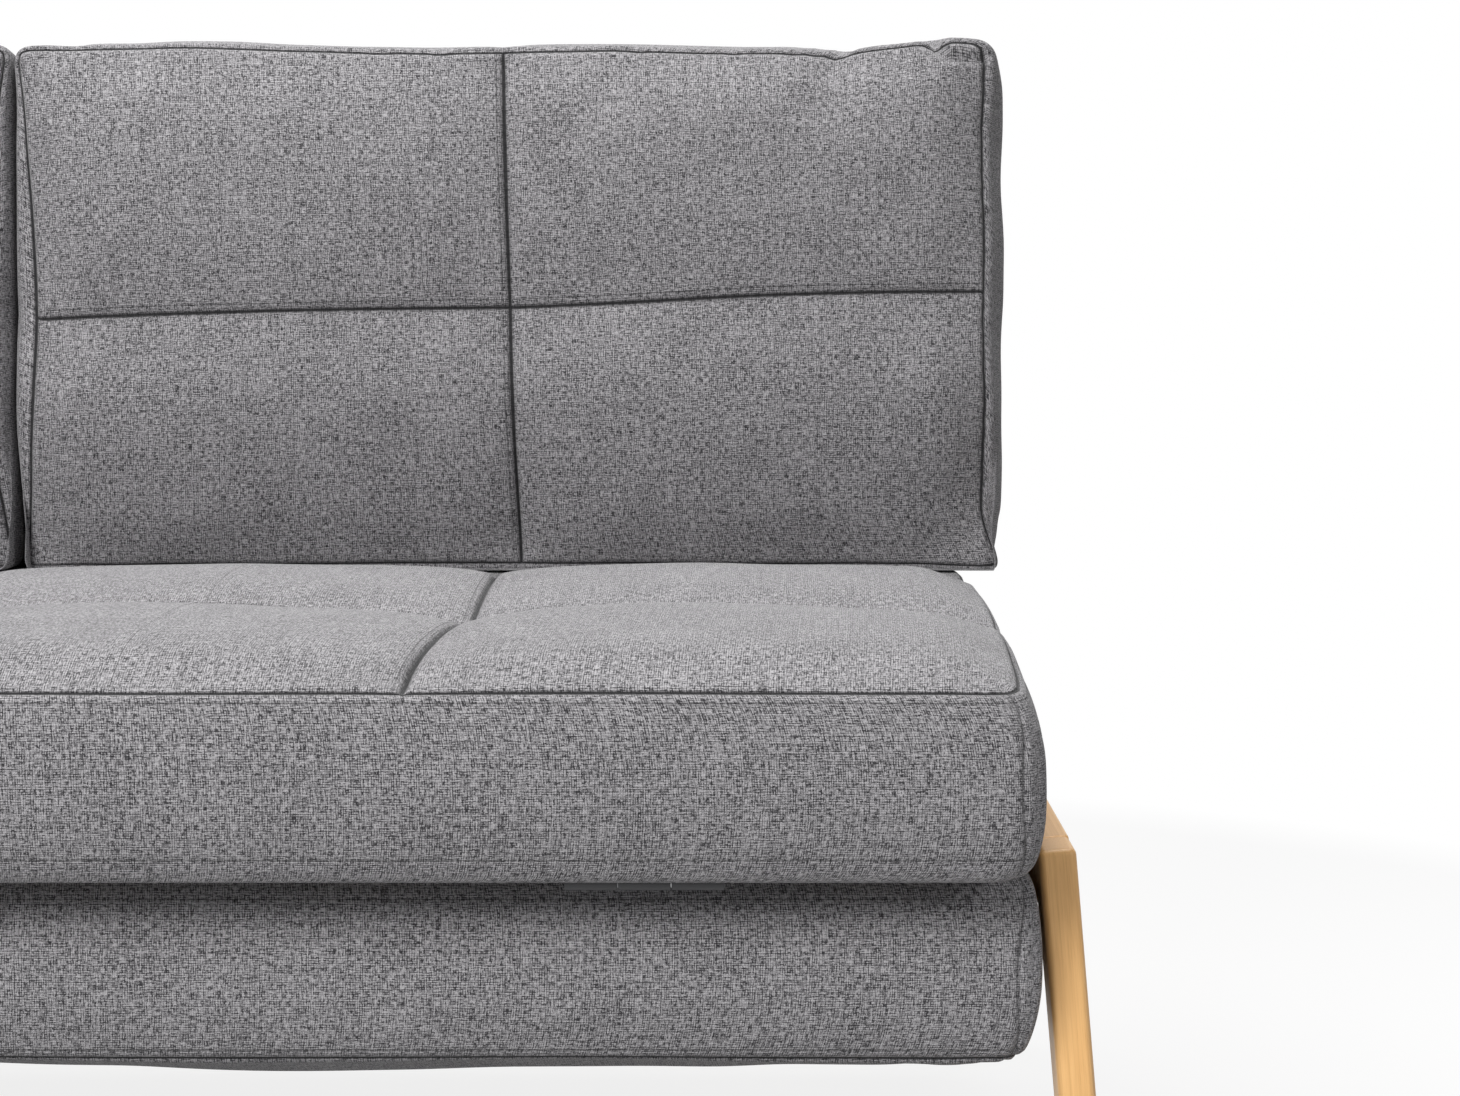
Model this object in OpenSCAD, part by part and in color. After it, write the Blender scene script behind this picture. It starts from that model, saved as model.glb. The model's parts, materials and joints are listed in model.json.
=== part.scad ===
// Three-section sofa bed on splayed wooden side frames, with two loose back cushions.
// X runs along the sofa, the front faces -Y, Z is up, and the floor is Z = 0.
// Each section is drawn flat: u runs along it from its near end, w runs up from its hem to its sleeping side.

/* [Sections] */
// Width of the bed, which is the width of the seat and front sections
bed_w = 1400; // [1200:10:1600]
// Length of the seat section, front to rear
seat_len = 680; // [660:5:720]
// How much shorter the front section is, so that it folds away under the seat
front_short = 60; // [58:1:100]
// Length of the back section, which stands behind the cushions
back_len = 660; // [610:5:680]
// How much narrower the back section is at each side, for the lifting arms
back_narrow = 8; // [7.5:0.5:16]
// Height of a section's border, from its hem to its seam
border_h = 109; // [100:1:116]
// Height of the seat's top seam above the floor
seat_seam_z = 430; // [420:5:480]
// Gap between the hems of the folded seat and front sections
hem_gap = 5; // [5:0.5:9]
// How far the folded front section stands behind the front of the seat
front_setback = 57; // [56:1:70]
// Gap between the seat and back sections when the bed is flat
back_gap = 28; // [28:1:40]

/* [Quilted covers] */
// Thickness of the cover at its hem
cover_t = 6; // [4:0.5:8]
// Thickness of the quilted top under the seam
cover_top = 8; // [5:1:12]
// Radius of a section's corners seen from above
corner_r = 34; // [20:1:50]
// How far the seam is drawn in at the sides
side_seam_in = 9; // [6:1:14]
// How far the seam is drawn in at the ends
end_seam_in = 6; // [4:1:9]
// How far the hem is drawn in at the sides
side_hem_in = 21; // [19:1:26]
// How far the hem is drawn in at the ends
end_hem_in = 14; // [12:1:14]
// How far the border swells out at the sides
side_swell = 3.5; // [2:0.5:5]
// How far the border swells out at the ends
end_swell = 2; // [1:0.5:2]
// How far the border of the front section swells out at the sides
front_swell = 1.5; // [0.5:0.5:2]
// Roundness of the seat's and the back's border at the sides: 1 for an arc, less for a fuller border
side_round = 0.22; // [0.2:0.02:0.6]
// Roundness of the front section's border at the sides
front_round = 0.4; // [0.36:0.02:0.8]
// Roundness of the borders at the ends
end_round = 0.7; // [0.66:0.02:1]
// Number of quilted panels across the seat and the back
panels = 4; // [2:1:5]
// Number of quilted panels across the front section
front_panels = 2; // [1:1:4]
// First quilted row of the seat, from the front
seat_row = 302; // [260:2:330]
// Rise of a sewn channel between two tufts
channel_rise = 13; // [6:1:14]
// Extra rise of a panel's middle over its channels
panel_puff = 7; // [3:1:8]
// Depth of the seat that the cushions press flat
pressed_depth = 125; // [110:5:150]

/* [Section frames] */
// Width and height of the steel tube of the section frames
tube = 20; // [16:1:22]
// Wall of the steel tube
tube_wall = 1.5; // [1:0.25:2.5]
// Clearance between a frame and the hem of its cover
frame_clear = 2; // [1:0.5:4]
// Height of a frame's underside above the hem
frame_lift = 5; // [4:0.5:6]
// Number of sprung slats in each section
slats = 9; // [7:1:11]
// Width of a slat
slat_w = 68; // [50:1:76]
// Thickness of a slat
slat_t = 8; // [6:0.5:9]
// Upward bow of a slat
slat_bow = 8; // [4:1:10]
// Wall of a slat's end cap
cap_wall = 2; // [1.5:0.25:3]

/* [Seat arms and rear axle] */
// Radius of the rear axle, on which the seat and the back turn
axle_r = 8; // [6:0.5:8]
// Depth of the axle below the hem of the seat
axle_drop = 10; // [10:0.5:14]
// Distance from the rear end of the seat to the axle
axle_behind = 207; // [205:1:225]
// Lean of the back from upright, in degrees
back_lean = 8; // [6:0.5:12]
// Thickness of a lifting arm
arm_t = 3.5; // [2.5:0.5:4]
// Height of a lifting arm
arm_h = 24; // [18:1:26]
// Clearance at each side of a lifting arm
arm_clear = 2.25; // [1.5:0.25:3]
// Wall of metal round an axle bore
eye_wall = 8; // [6:0.5:10]
// Thickness of a strap or tab of flat steel
strap_t = 3; // [2:0.25:3.5]
// Width of a strap or tab
strap_w = 40; // [30:1:60]
// Thickness of the rubber rest pads
pad_t = 2.4; // [2:0.2:4]

/* [Hinges and fold-out legs] */
// Length of a hinge between the seat and front sections
hinge_l = 90; // [60:5:120]
// Radius of a hinge knuckle
knuckle_r = 4; // [3.5:0.25:4]
// Radius of a hinge pin
hinge_pin_r = 2.5; // [2:0.25:2.75]
// Running clearance of a pin or axle in its bore
run_clear = 0.05; // [0.03:0.01:0.1]
// Thickness of a hinge leaf
leaf_t = 1.8; // [1.2:0.1:1.9]
// Width of the square tube of the fold-out legs
leg_tube = 16; // [12:1:16]
// Distance of the fold-out legs from the middle of the bed
leg_x = 520; // [400:10:560]
// Distance from a leg's pivot to the far cross tube
leg_pivot_in = 18; // [16:1:30]
// Radius of a fold-out leg's pivot pin
leg_pin_r = 4; // [3:0.25:4.5]
// Length of a rubber foot
foot_h = 25; // [18:1:40]
// Radius of the spreader tube between a pair of fold-out legs
spreader_r = 7; // [5:0.5:7.5]
// Distance of the spreader tube above the floor
spreader_z = 60; // [40:5:120]

/* [Wooden side frames] */
// Thickness of the side frames, along the sofa
wood_t = 22; // [18:1:28]
// Depth of a leg at its top
leg_top_d = 42; // [36:1:50]
// Depth of a leg at its foot
leg_foot_d = 32; // [26:1:40]
// Height of the side rails
rail_h = 40; // [34:1:55]
// Height of the side rails' top above the hem of the seat
rail_above_hem = 3; // [2:0.5:3]
// Outward splay of the side frames, in degrees
splay = 4.8; // [3:0.2:7]
// Rake of the legs, front and rear, in degrees
rake = 5; // [2:0.5:8]
// Distance of the front legs behind the front of the seat
leg_setback = 91; // [80:1:130]
// Radius of the legs' edges
edge_r = 4; // [2:0.5:5]
// Height of the rear stretcher
stretcher_h = 50; // [35:1:60]
// Thickness of the rear stretcher
stretcher_t = 22; // [16:1:26]
// Height of the rear stretcher's middle above the floor
stretcher_z = 85; // [60:5:90]
// Height of a floor glide
glide_h = 3; // [2:0.5:5]

/* [Back cushions] */
// Height of a cushion along its lean
cushion_h = 404; // [340:2:420]
// Width of a cushion's border, from front seam to rear seam
cushion_t = 165; // [140:5:170]
// How far a pair of cushions stands out past each side of the bed
cushion_over = 31; // [0:1:40]
// Gap between the two cushions
cushion_gap = 3; // [2:0.5:10]
// Clearance between the cushions and the top of the pressed seat
cushion_clear = 0.2; // [0:0.1:2]
// Swell of a cushion's front face
cushion_crown = 20; // [10:1:22]
// Swell of a cushion's border
cushion_swell = 12; // [6:1:14]
// Roundness of a cushion's border: 1 for an arc, less for a fuller border
cushion_round = 0.3; // [0.26:0.02:0.8]
// Radius of a cushion's corners
cushion_corner = 20; // [15:1:40]
// How far the middle of a cushion's edges is drawn in
cushion_pull = 3; // [2:1:8]

/* [Hidden] */
$fn = 48;
oak = [0.80, 0.62, 0.40];
cloth = [0.50, 0.50, 0.51];
steel = [0.16, 0.16, 0.17];
zinc = [0.68, 0.69, 0.70];
birch = [0.86, 0.76, 0.60];
foam = [0.93, 0.91, 0.84];
rubber = [0.08, 0.08, 0.08];
plastic = [0.12, 0.12, 0.13];

// A little room that keeps faces of different bodies apart
hair = 0.3;
half = bed_w / 2;
back_half = half - back_narrow;
front_len = seat_len - front_short;
hem_z = seat_seam_z - border_h;
front_hem_z = hem_z - hem_gap;
hinge_z = (hem_z + front_hem_z) / 2;
// The unfolded front section meets the seat with their swollen ends 1 mm apart
hinge_y0 = (front_setback - 2 * end_swell - 1) / 2;
axle_y0 = seat_len + axle_behind;
back_near_y0 = seat_len + back_gap;
axle_z = hem_z - axle_drop;
turn = 90 - back_lean;
up_lean = [0, sin(back_lean), cos(back_lean)];

// Depth of the sofa, from the swell of the seat's front to the top of the back's frame side
back_rear_y0 = axle_y0 + (back_near_y0 + back_len - end_hem_in - axle_y0) * cos(turn)
    - (hem_z - axle_z) * sin(turn);
depth = back_rear_y0 + end_swell;
// Y of the front of the seat, which centres the whole sofa on Y = 0
seat_y = end_swell - depth / 2;
axle_y = seat_y + axle_y0;
hinge_y = seat_y + hinge_y0;
front_y = seat_y + front_setback;
back_near_y = seat_y + back_near_y0;

// Frame inside a cover: its outer faces and its layers above the hem
function frame_half(h) = h - side_hem_in - cover_t - frame_clear;
frame_near = end_hem_in + cover_t + frame_clear;
tube_top = frame_lift + tube;
slat_bottom = tube_top + cap_wall;
foam_bottom = slat_bottom + slat_t + slat_bow;
foam_top = border_h - cover_top;

// Places a section that is drawn flat
module place_seat() {
    translate([0, seat_y, hem_z]) children();
}

module place_front() {
    translate([0, front_y, front_hem_z]) rotate([0, 180, 0]) children();
}

module place_back() {
    translate([0, axle_y, axle_z]) rotate([turn, 0, 0])
        translate([0, back_near_y - axle_y, hem_z - axle_z]) children();
}

// Smooth step from 0 to 1
function ease(t) = let (c = min(max(t, 0), 1)) c * c * (3 - 2 * c);

// Grid lines that crowd towards the channels at breaks
function grid_lines(breaks, steps) = concat(
    [for (i = [0 : len(breaks) - 2]) for (j = [0 : steps[i] - 1])
        breaks[i] + (breaks[i + 1] - breaks[i]) * (1 - cos(180 * j / steps[i])) / 2],
    [breaks[len(breaks) - 1]]);

// Arch of the cloth between two channels: 0 on a channel, 1 half way, and less in a short row
short_row = 200;
function arch(v, breaks) = let (
    i = max([for (k = [0 : len(breaks) - 2]) if (v >= breaks[k] - 0.001) k]),
    span = breaks[i + 1] - breaks[i])
    sin(180 * min(max((v - breaks[i]) / span, 0), 1)) * min(1, span / short_row);

// Height of quilted cloth over its seam, for arches a and b and a distance e to the edge
edge_soft = 60;
function quilt(a, b, e, rise, puff) =
    rise * ease(e / edge_soft) * (a + b - a * b) + puff * pow(a * b, 0.5);

// Moves a point of a rectangle's grid so that the rectangle's corners become round
function rounded(x, u, h, l, r) = let (
    p = max(r - (h - abs(x)), 0),
    q = max(r - min(u, l - u), 0),
    m = max(p, q),
    k = p > 0 && q > 0 ? m / norm([p, q]) : 1)
    [sign(x) * (abs(x) - p + p * k), u < l / 2 ? u + q - q * k : u - q + q * k];

// How far the border is drawn in at depth t under its seam, from 0 at the seam to 1 at the hem
seam_round = 1.7;
function drawn_in(t, seam, swell, hem, roundness) = let (
    end = t < 0.5 ? seam : hem,
    power = t < 0.5 ? min(seam_round * roundness, 1) : roundness)
    end - (end + swell) * pow(sin(180 * t), power);

// Grid indices once round the edge of an n by m grid
function edge_walk(n, m) = concat(
    [for (i = [0 : n - 1]) [i, 0]],
    [for (j = [0 : m - 1]) [n, j]],
    [for (i = [n : -1 : 1]) [i, m]],
    [for (j = [m : -1 : 1]) [0, j]]);

// Quilted cover of a section, open under its hem, with a cavity for the frame and the foam
border_levels = [0.03, 0.12, 0.5, 0.88, 0.97, 1];
across_steps = 24;
module cover(h, l, rows, row_steps, pressed, swell = side_swell, roundness = side_round, across = panels) {
    columns = [for (i = [0 : across]) -h + 2 * h * i / across];
    xs = grid_lines(columns, [for (i = [1 : across]) round(across_steps / across)]);
    us = grid_lines(rows, row_steps);
    n = len(xs) - 1;
    m = len(us) - 1;
    walk = edge_walk(n, m);
    count = len(walk);
    inner_h = h - side_hem_in - cover_t;
    inner_u = end_hem_in + cover_t;
    top = [for (j = [0 : m]) for (i = [0 : n]) let (
        x = xs[i],
        u = us[j],
        p = rounded(x, u, h, l, corner_r),
        e = min(h - abs(x), u, l - u),
        flat = 1 - 0.85 * ease((u - l + pressed) / 50),
        rise = quilt(arch(x, columns), arch(u, rows), e, channel_rise, panel_puff))
        [p[0] * (h - side_seam_in) / h, end_seam_in + p[1] * (l - 2 * end_seam_in) / l,
            border_h + rise * flat]];
    border = [for (t = border_levels) for (g = walk) let (
        p = rounded(xs[g[0]], us[g[1]], h, l, corner_r),
        side = drawn_in(t, side_seam_in, swell, side_hem_in, roundness),
        end = drawn_in(t, end_seam_in, end_swell, end_hem_in, end_round))
        [p[0] * (h - side) / h, end + p[1] * (l - 2 * end) / l, border_h * (1 - t)]];
    cavity = [for (z = [0, foam_top]) for (g = walk)
        [xs[g[0]] * inner_h / h, inner_u + us[g[1]] * (l - 2 * inner_u) / l, z]];
    middle = [[0, l / 2, foam_top]];
    first_border = len(top);
    first_cavity = first_border + len(border_levels) * count;
    centre = first_cavity + 2 * count;
    levels = len(border_levels);
    top_faces = [for (j = [0 : m - 1]) for (i = [0 : n - 1]) each [
        [j * (n + 1) + i, (j + 1) * (n + 1) + i, (j + 1) * (n + 1) + i + 1],
        [j * (n + 1) + i, (j + 1) * (n + 1) + i + 1, j * (n + 1) + i + 1]]];
    seam = [for (g = walk) g[1] * (n + 1) + g[0]];
    rings = concat([seam], [for (k = [0 : levels + 1]) [for (i = [0 : count - 1])
        first_border + k * count + i]]);
    ring_faces = [for (k = [0 : levels + 1]) for (i = [0 : count - 1]) let (o = (i + 1) % count) each [
        [rings[k][i], rings[k][o], rings[k + 1][o]],
        [rings[k][i], rings[k + 1][o], rings[k + 1][i]]]];
    roof_faces = [for (i = [0 : count - 1])
        [rings[levels + 2][i], rings[levels + 2][(i + 1) % count], centre]];
    polyhedron(concat(top, border, cavity, middle), concat(top_faces, ring_faces, roof_faces));
}

module foam_block(h, l) {
    inner_h = h - side_hem_in - cover_t;
    inner_u = end_hem_in + cover_t;
    translate([-inner_h, inner_u, foam_bottom])
        cube([2 * inner_h, l - 2 * inner_u, foam_top - foam_bottom]);
}

// Square tube along Y that starts at the origin
module square_tube(length, size) {
    translate([0, length, 0]) rotate([90, 0, 0]) linear_extrude(length) difference() {
        square(size);
        translate([tube_wall, tube_wall]) square(size - 2 * tube_wall);
    }
}

module frame_sides(h, l) {
    f = frame_half(h);
    for (x = [-f, f - tube])
        translate([x, frame_near, frame_lift]) square_tube(l - 2 * frame_near, tube);
}

module frame_crossbars(h, l) {
    f = frame_half(h);
    for (u = [frame_near, l - frame_near - tube])
        translate([-f + tube, u + tube, frame_lift]) rotate([0, 0, -90])
            square_tube(2 * (f - tube), tube);
}

// Middle of each slat across the section
function slat_places(h) = let (room = frame_half(h) - tube - slat_w / 2 - 2 * cap_wall)
    [for (i = [0 : slats - 1]) -room + 2 * room * i / (slats - 1)];

slat_steps = 16;
module slat_row(h, l) {
    start = frame_near + cap_wall;
    span = l - 2 * start;
    bow = [for (i = [0 : slat_steps]) [start + span * i / slat_steps,
        slat_bow * pow(sin(180 * i / slat_steps), 2)]];
    under = [for (p = bow) [p[0], slat_bottom + p[1]]];
    over = [for (i = [slat_steps : -1 : 0]) [bow[i][0], slat_bottom + slat_t + bow[i][1]]];
    for (x = slat_places(h))
        translate([x - slat_w / 2, 0, 0]) rotate([90, 0, 90]) linear_extrude(slat_w)
            polygon(concat(under, over));
}

// Moulded caps that hold the slats' ends on the cross tubes
module slat_cap_row(h, l) {
    cap_h = slat_t + 2 * cap_wall + hair;
    for (x = slat_places(h)) {
        for (end = [0, 1]) {
            u = end == 0 ? frame_near : l - frame_near - tube;
            slot_u = end == 0 ? frame_near + cap_wall : l - frame_near - tube - cap_wall;
            difference() {
                translate([x - slat_w / 2 - cap_wall, u, tube_top])
                    cube([slat_w + 2 * cap_wall, tube, cap_h]);
                translate([x - slat_w / 2, slot_u, slat_bottom])
                    cube([slat_w, tube, slat_t + hair]);
            }
        }
    }
}

// Fold-out leg frame, stowed flat in the frame's layer with its feet towards the near end
leg_w = frame_lift + leg_tube / 2;
leg_len = hem_z + leg_w;
function leg_u(l) = l - frame_near - tube - leg_pivot_in;
ear_t = 3;
ear_gap = 0.5;

module leg_uprights(l) {
    for (x = [-leg_x, leg_x]) {
        difference() {
            translate([x - leg_tube / 2, leg_u(l), leg_w]) union() {
                translate([0, -leg_len + foot_h, -leg_tube / 2])
                    cube([leg_tube, leg_len - foot_h, leg_tube]);
                rotate([0, 90, 0]) cylinder(r = leg_tube / 2, h = leg_tube);
            }
            translate([x - leg_tube, leg_u(l), leg_w]) rotate([0, 90, 0])
                cylinder(r = leg_pin_r + run_clear, h = 2 * leg_tube);
        }
    }
}

module leg_spreader(l) {
    span = 2 * leg_x - leg_tube;
    translate([-span / 2, leg_u(l) - leg_len + spreader_z, leg_w]) rotate([0, 90, 0])
        difference() {
            cylinder(r = spreader_r, h = span);
            translate([0, 0, -1]) cylinder(r = spreader_r - tube_wall, h = span + 2);
        }
}

module leg_feet(l) {
    size = leg_tube + 3;
    for (x = [-leg_x, leg_x])
        translate([x - size / 2, leg_u(l) - leg_len, leg_w - size / 2]) cube([size, foot_h, size]);
}

module leg_brackets(l) {
    far_bar = l - frame_near - tube;
    reach = leg_tube / 2 + ear_gap;
    for (x = [-leg_x, leg_x]) for (side = [-1, 1])
        translate([x + side * (reach + ear_t / 2) - ear_t / 2, 0, 0]) difference() {
            union() {
                translate([0, leg_u(l), leg_w - leg_tube / 2])
                    cube([ear_t, far_bar - leg_u(l), leg_tube]);
                translate([0, leg_u(l), leg_w]) rotate([0, 90, 0]) cylinder(r = leg_tube / 2, h = ear_t);
            }
            translate([-1, leg_u(l), leg_w]) rotate([0, 90, 0]) cylinder(r = leg_pin_r, h = ear_t + 2);
        }
}

module leg_pins(l) {
    reach = leg_tube / 2 + ear_gap + ear_t;
    for (x = [-leg_x, leg_x]) translate([x - reach, leg_u(l), leg_w]) rotate([0, 90, 0])
        cylinder(r = leg_pin_r, h = 2 * reach);
}

// Where a flat steel strap runs out under the seat's hem
strap_low = (hem_gap - strap_t) / 2 - hem_gap + 0.2;
strap_from = frame_half(half) - tube;
arm_x = back_half + side_swell + arm_clear;
arm_out = arm_x + arm_t;
arm_front = 190;
strap_places = [seat_len - arm_front, seat_len - 60];

module seat_arm(side) {
    eye_r = axle_r + eye_wall;
    arm_low = -axle_drop - arm_h / 2 + 3;
    mirror([side < 0 ? 1 : 0, 0, 0]) place_seat() difference() {
        union() {
            translate([arm_x, strap_places[0] - strap_w / 2, arm_low])
                cube([arm_t, axle_y0 - strap_places[0] + strap_w / 2, arm_h]);
            translate([arm_x, axle_y0, -axle_drop]) rotate([0, 90, 0]) cylinder(r = eye_r, h = arm_t);
            for (u = strap_places) {
                translate([strap_from, u - strap_w / 2, strap_low])
                    cube([arm_x + arm_t / 2 - strap_from, strap_w, strap_t]);
                translate([strap_from, u - strap_w / 2, strap_low])
                    cube([tube, strap_w, frame_lift - strap_low]);
            }
        }
        translate([arm_x - 1, axle_y0, -axle_drop]) rotate([0, 90, 0])
            cylinder(r = axle_r + run_clear, h = arm_t + 2);
    }
}

// Tabs on the seat frame that come to rest on the side rails
rail_in = arm_out + arm_clear;
rail_top = rail_above_hem;
rail_rise = wood_t * sin(splay);
tab_low = rail_top + rail_rise + hair + pad_t;
tab_u = 350;
tab_reach = wood_t - 4;
tab_clear = 1;

module seat_rest_tabs() {
    riser_x = rail_in - tab_clear - strap_t;
    color(zinc) for (side = [0, 1]) mirror([side, 0, 0]) place_seat() union() {
        translate([strap_from, tab_u - strap_w / 2, strap_low])
            cube([tube, strap_w, frame_lift - strap_low]);
        translate([strap_from, tab_u - strap_w / 2, strap_low])
            cube([riser_x + strap_t - strap_from, strap_w, strap_t]);
        translate([riser_x, tab_u - strap_w / 2, strap_low])
            cube([strap_t, strap_w, tab_low + strap_t - strap_low]);
        translate([riser_x, tab_u - strap_w / 2, tab_low])
            cube([rail_in + tab_reach - riser_x, strap_w, strap_t]);
    }
}

module rest_pads() {
    color(rubber) for (side = [0, 1]) mirror([side, 0, 0]) place_seat()
        translate([rail_in + 1, tab_u - strap_w / 2, tab_low - pad_t])
            cube([tab_reach - 1, strap_w, pad_t]);
}

// Hinges between the seat and the front section, in the gap between their hems
hinge_places = [-half * 0.68, 0, half * 0.68];
knuckle_l = hinge_l / 3;
leaf_root = knuckle_r + 0.5;
leaf_off = 0.4;

module knuckle(x, length) {
    translate([x, hinge_y, hinge_z]) rotate([0, 90, 0]) cylinder(r = knuckle_r, h = length);
}

module pin_bore(x) {
    translate([x - hinge_l, hinge_y, hinge_z]) rotate([0, 90, 0])
        cylinder(r = hinge_pin_r + run_clear, h = 2 * hinge_l);
}

module seat_hinge_leaves() {
    bar_y = seat_y + frame_near;
    leaf_z = hinge_z + leaf_off;
    outer_l = knuckle_l - 0.25;
    color(steel) for (x = hinge_places) difference() {
        union() {
            translate([x - hinge_l / 2, hinge_y + leaf_root, leaf_z])
                cube([hinge_l, bar_y + tube - hinge_y - leaf_root, hem_z + frame_lift - leaf_z]);
            for (start = [x - hinge_l / 2, x + hinge_l / 2 - outer_l]) {
                knuckle(start, outer_l);
                translate([start, hinge_y, leaf_z]) cube([outer_l, leaf_root + 1, leaf_t]);
            }
        }
        pin_bore(x);
    }
}

module front_hinge_leaves() {
    bar_y = front_y + frame_near;
    leaf_top = hinge_z - leaf_off;
    bar_top = front_hem_z - frame_lift;
    middle_l = knuckle_l - 0.5;
    color(steel) for (x = hinge_places) difference() {
        union() {
            translate([x - hinge_l / 2, hinge_y + leaf_root, leaf_top - leaf_t])
                cube([hinge_l, bar_y + tube - hinge_y - leaf_root, leaf_t]);
            translate([x - hinge_l / 2, bar_y, bar_top])
                cube([hinge_l, tube, leaf_top - bar_top]);
            knuckle(x - middle_l / 2, middle_l);
            translate([x - middle_l / 2, hinge_y, leaf_top - leaf_t])
                cube([middle_l, leaf_root + 1, leaf_t]);
        }
        pin_bore(x);
    }
}

module hinge_pins() {
    color(zinc) for (x = hinge_places) translate([x - hinge_l / 2, hinge_y, hinge_z])
        rotate([0, 90, 0]) cylinder(r = hinge_pin_r, h = hinge_l);
}

// Rear axle and what turns on it
leg_top_z = hem_z + rail_top;
function inner_x(z) = rail_in + (leg_top_z - z) * tan(splay);
axle_end = inner_x(axle_z) + wood_t * 0.6;

module rear_axle() {
    color(zinc) translate([-axle_end, axle_y, axle_z]) rotate([0, 90, 0])
        cylinder(r = axle_r, h = 2 * axle_end);
}

collar_w = 5;
ear_w = 5;
module axle_collars() {
    ear_in = frame_half(back_half) - tube - ear_w;
    color(steel) for (side = [0, 1]) mirror([side, 0, 0])
        for (x = [arm_x - hair - collar_w, ear_in - hair - collar_w])
            translate([x, axle_y, axle_z]) rotate([0, 90, 0]) difference() {
                cylinder(r = axle_r + 5, h = collar_w);
                translate([0, 0, -1]) cylinder(r = axle_r, h = collar_w + 2);
            }
}

module back_axle_ears() {
    eye_r = axle_r + eye_wall;
    ear_u = axle_y0 - back_near_y0;
    color(zinc) for (side = [0, 1]) mirror([side, 0, 0]) place_back()
        translate([frame_half(back_half) - tube - ear_w, ear_u, -axle_drop]) difference() {
            union() {
                rotate([0, 90, 0]) cylinder(r = eye_r, h = ear_w);
                translate([0, -eye_r, 0]) cube([ear_w, 2 * eye_r, axle_drop + tube_top]);
            }
            translate([-1, 0, 0]) rotate([0, 90, 0])
                cylinder(r = axle_r + run_clear, h = ear_w + 2);
        }
}

// Places a piece drawn in the plane of the right side frame: x across its thickness, z up to the rail's top
module place_side(side) {
    mirror([side < 0 ? 1 : 0, 0, 0]) translate([rail_in, seat_y, leg_top_z])
        rotate([0, -splay, 0]) children();
}

drop = leg_top_z / cos(splay) + 10;
lean_foot = tan(rake) * drop;

// Leg with rounded edges, from its top down past the floor, and cut at the top of its glide
module wooden_leg(side, top_front, foot_front) {
    color(oak) difference() {
        place_side(side) hull() {
            for (x = [edge_r, wood_t - edge_r]) {
                for (y = [top_front + edge_r, top_front + leg_top_d - edge_r])
                    translate([x, y, -edge_r]) sphere(r = edge_r, $fn = 16);
                for (y = [foot_front + edge_r, foot_front + leg_foot_d - edge_r])
                    translate([x, y, -drop]) sphere(r = edge_r, $fn = 16);
            }
        }
        translate([side < 0 ? -half * 2 : 0, seat_y - half, glide_h - 60]) cube([2 * half, 4 * half, 60]);
        translate([-axle_end, axle_y, axle_z]) rotate([0, 90, 0]) cylinder(r = axle_r, h = 2 * axle_end);
    }
}

// Front faces of the legs at their tops and feet
front_top = leg_setback;
front_foot = leg_setback - lean_foot + (leg_top_d - leg_foot_d) / 2;
rear_top = axle_y0 - leg_top_d / 2;
rear_foot = rear_top + lean_foot + (leg_top_d - leg_foot_d) / 2;

// Y at depth z of the line from a leg's top to its foot
function leg_line(top, foot, z) = top + (foot - top) * (-z - edge_r) / (drop - edge_r);

module side_rail(side) {
    front_end = [for (z = [0, -rail_h])
        [leg_line(front_top + leg_top_d, front_foot + leg_foot_d, z), z]];
    rear_end = [for (z = [-rail_h, 0]) [leg_line(rear_top, rear_foot, z), z]];
    color(oak) place_side(side) rotate([90, 0, 90]) linear_extrude(wood_t)
        polygon(concat(front_end, rear_end));
}

// Middle of the rear leg at the height of the stretcher
stretcher_y = seat_y + leg_line(rear_top + leg_top_d / 2, rear_foot + leg_foot_d / 2,
    (stretcher_z - leg_top_z) / cos(splay));

module rear_stretcher() {
    low = stretcher_z - stretcher_h / 2;
    high = stretcher_z + stretcher_h / 2;
    color(oak) translate([0, stretcher_y + stretcher_t / 2, 0]) rotate([90, 0, 0])
        linear_extrude(stretcher_t) polygon([[-inner_x(low), low], [inner_x(low), low],
            [inner_x(high), high], [-inner_x(high), high]]);
}

// Steel angles that fasten the stretcher to the rear legs
module stretcher_brackets() {
    size = 34;
    tall = stretcher_h - 14;
    low = stretcher_z - tall / 2;
    face = stretcher_y - stretcher_t / 2;
    color(zinc) for (side = [0, 1]) mirror([side, 0, 0]) difference() {
        translate([0, face, 0]) rotate([90, 0, 0]) linear_extrude(strap_t) polygon([
            [inner_x(low) - size, low], [inner_x(low), low],
            [inner_x(low + tall), low + tall], [inner_x(low + tall) - size, low + tall]]);
        translate([inner_x(stretcher_z) - size * 0.6, face + 1, stretcher_z]) rotate([90, 0, 0])
            cylinder(r = 2.2, h = strap_t + 2);
    }
}

module floor_glides() {
    reach = (leg_top_z - glide_h) / cos(splay);
    fronts = [leg_line(front_top + leg_top_d / 2, front_foot + leg_foot_d / 2, -reach),
        leg_line(rear_top + leg_top_d / 2, rear_foot + leg_foot_d / 2, -reach)];
    color(plastic) for (side = [-1, 1]) for (y = fronts)
        translate([side * (inner_x(glide_h) + wood_t / 2 / cos(splay)), seat_y + y, 0])
            cylinder(r = wood_t / 2 - 2, h = glide_h);
}

// Back cushion: t runs up its lean, n runs forward from the face of the back section
rear_crown = 8;
rear_seam_n = channel_rise + panel_puff + rear_crown + hair;
seat_rest_z = seat_seam_z + 0.15 * (channel_rise + panel_puff) + cushion_clear;
cushion_w = half + cushion_over - cushion_gap / 2;
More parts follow.
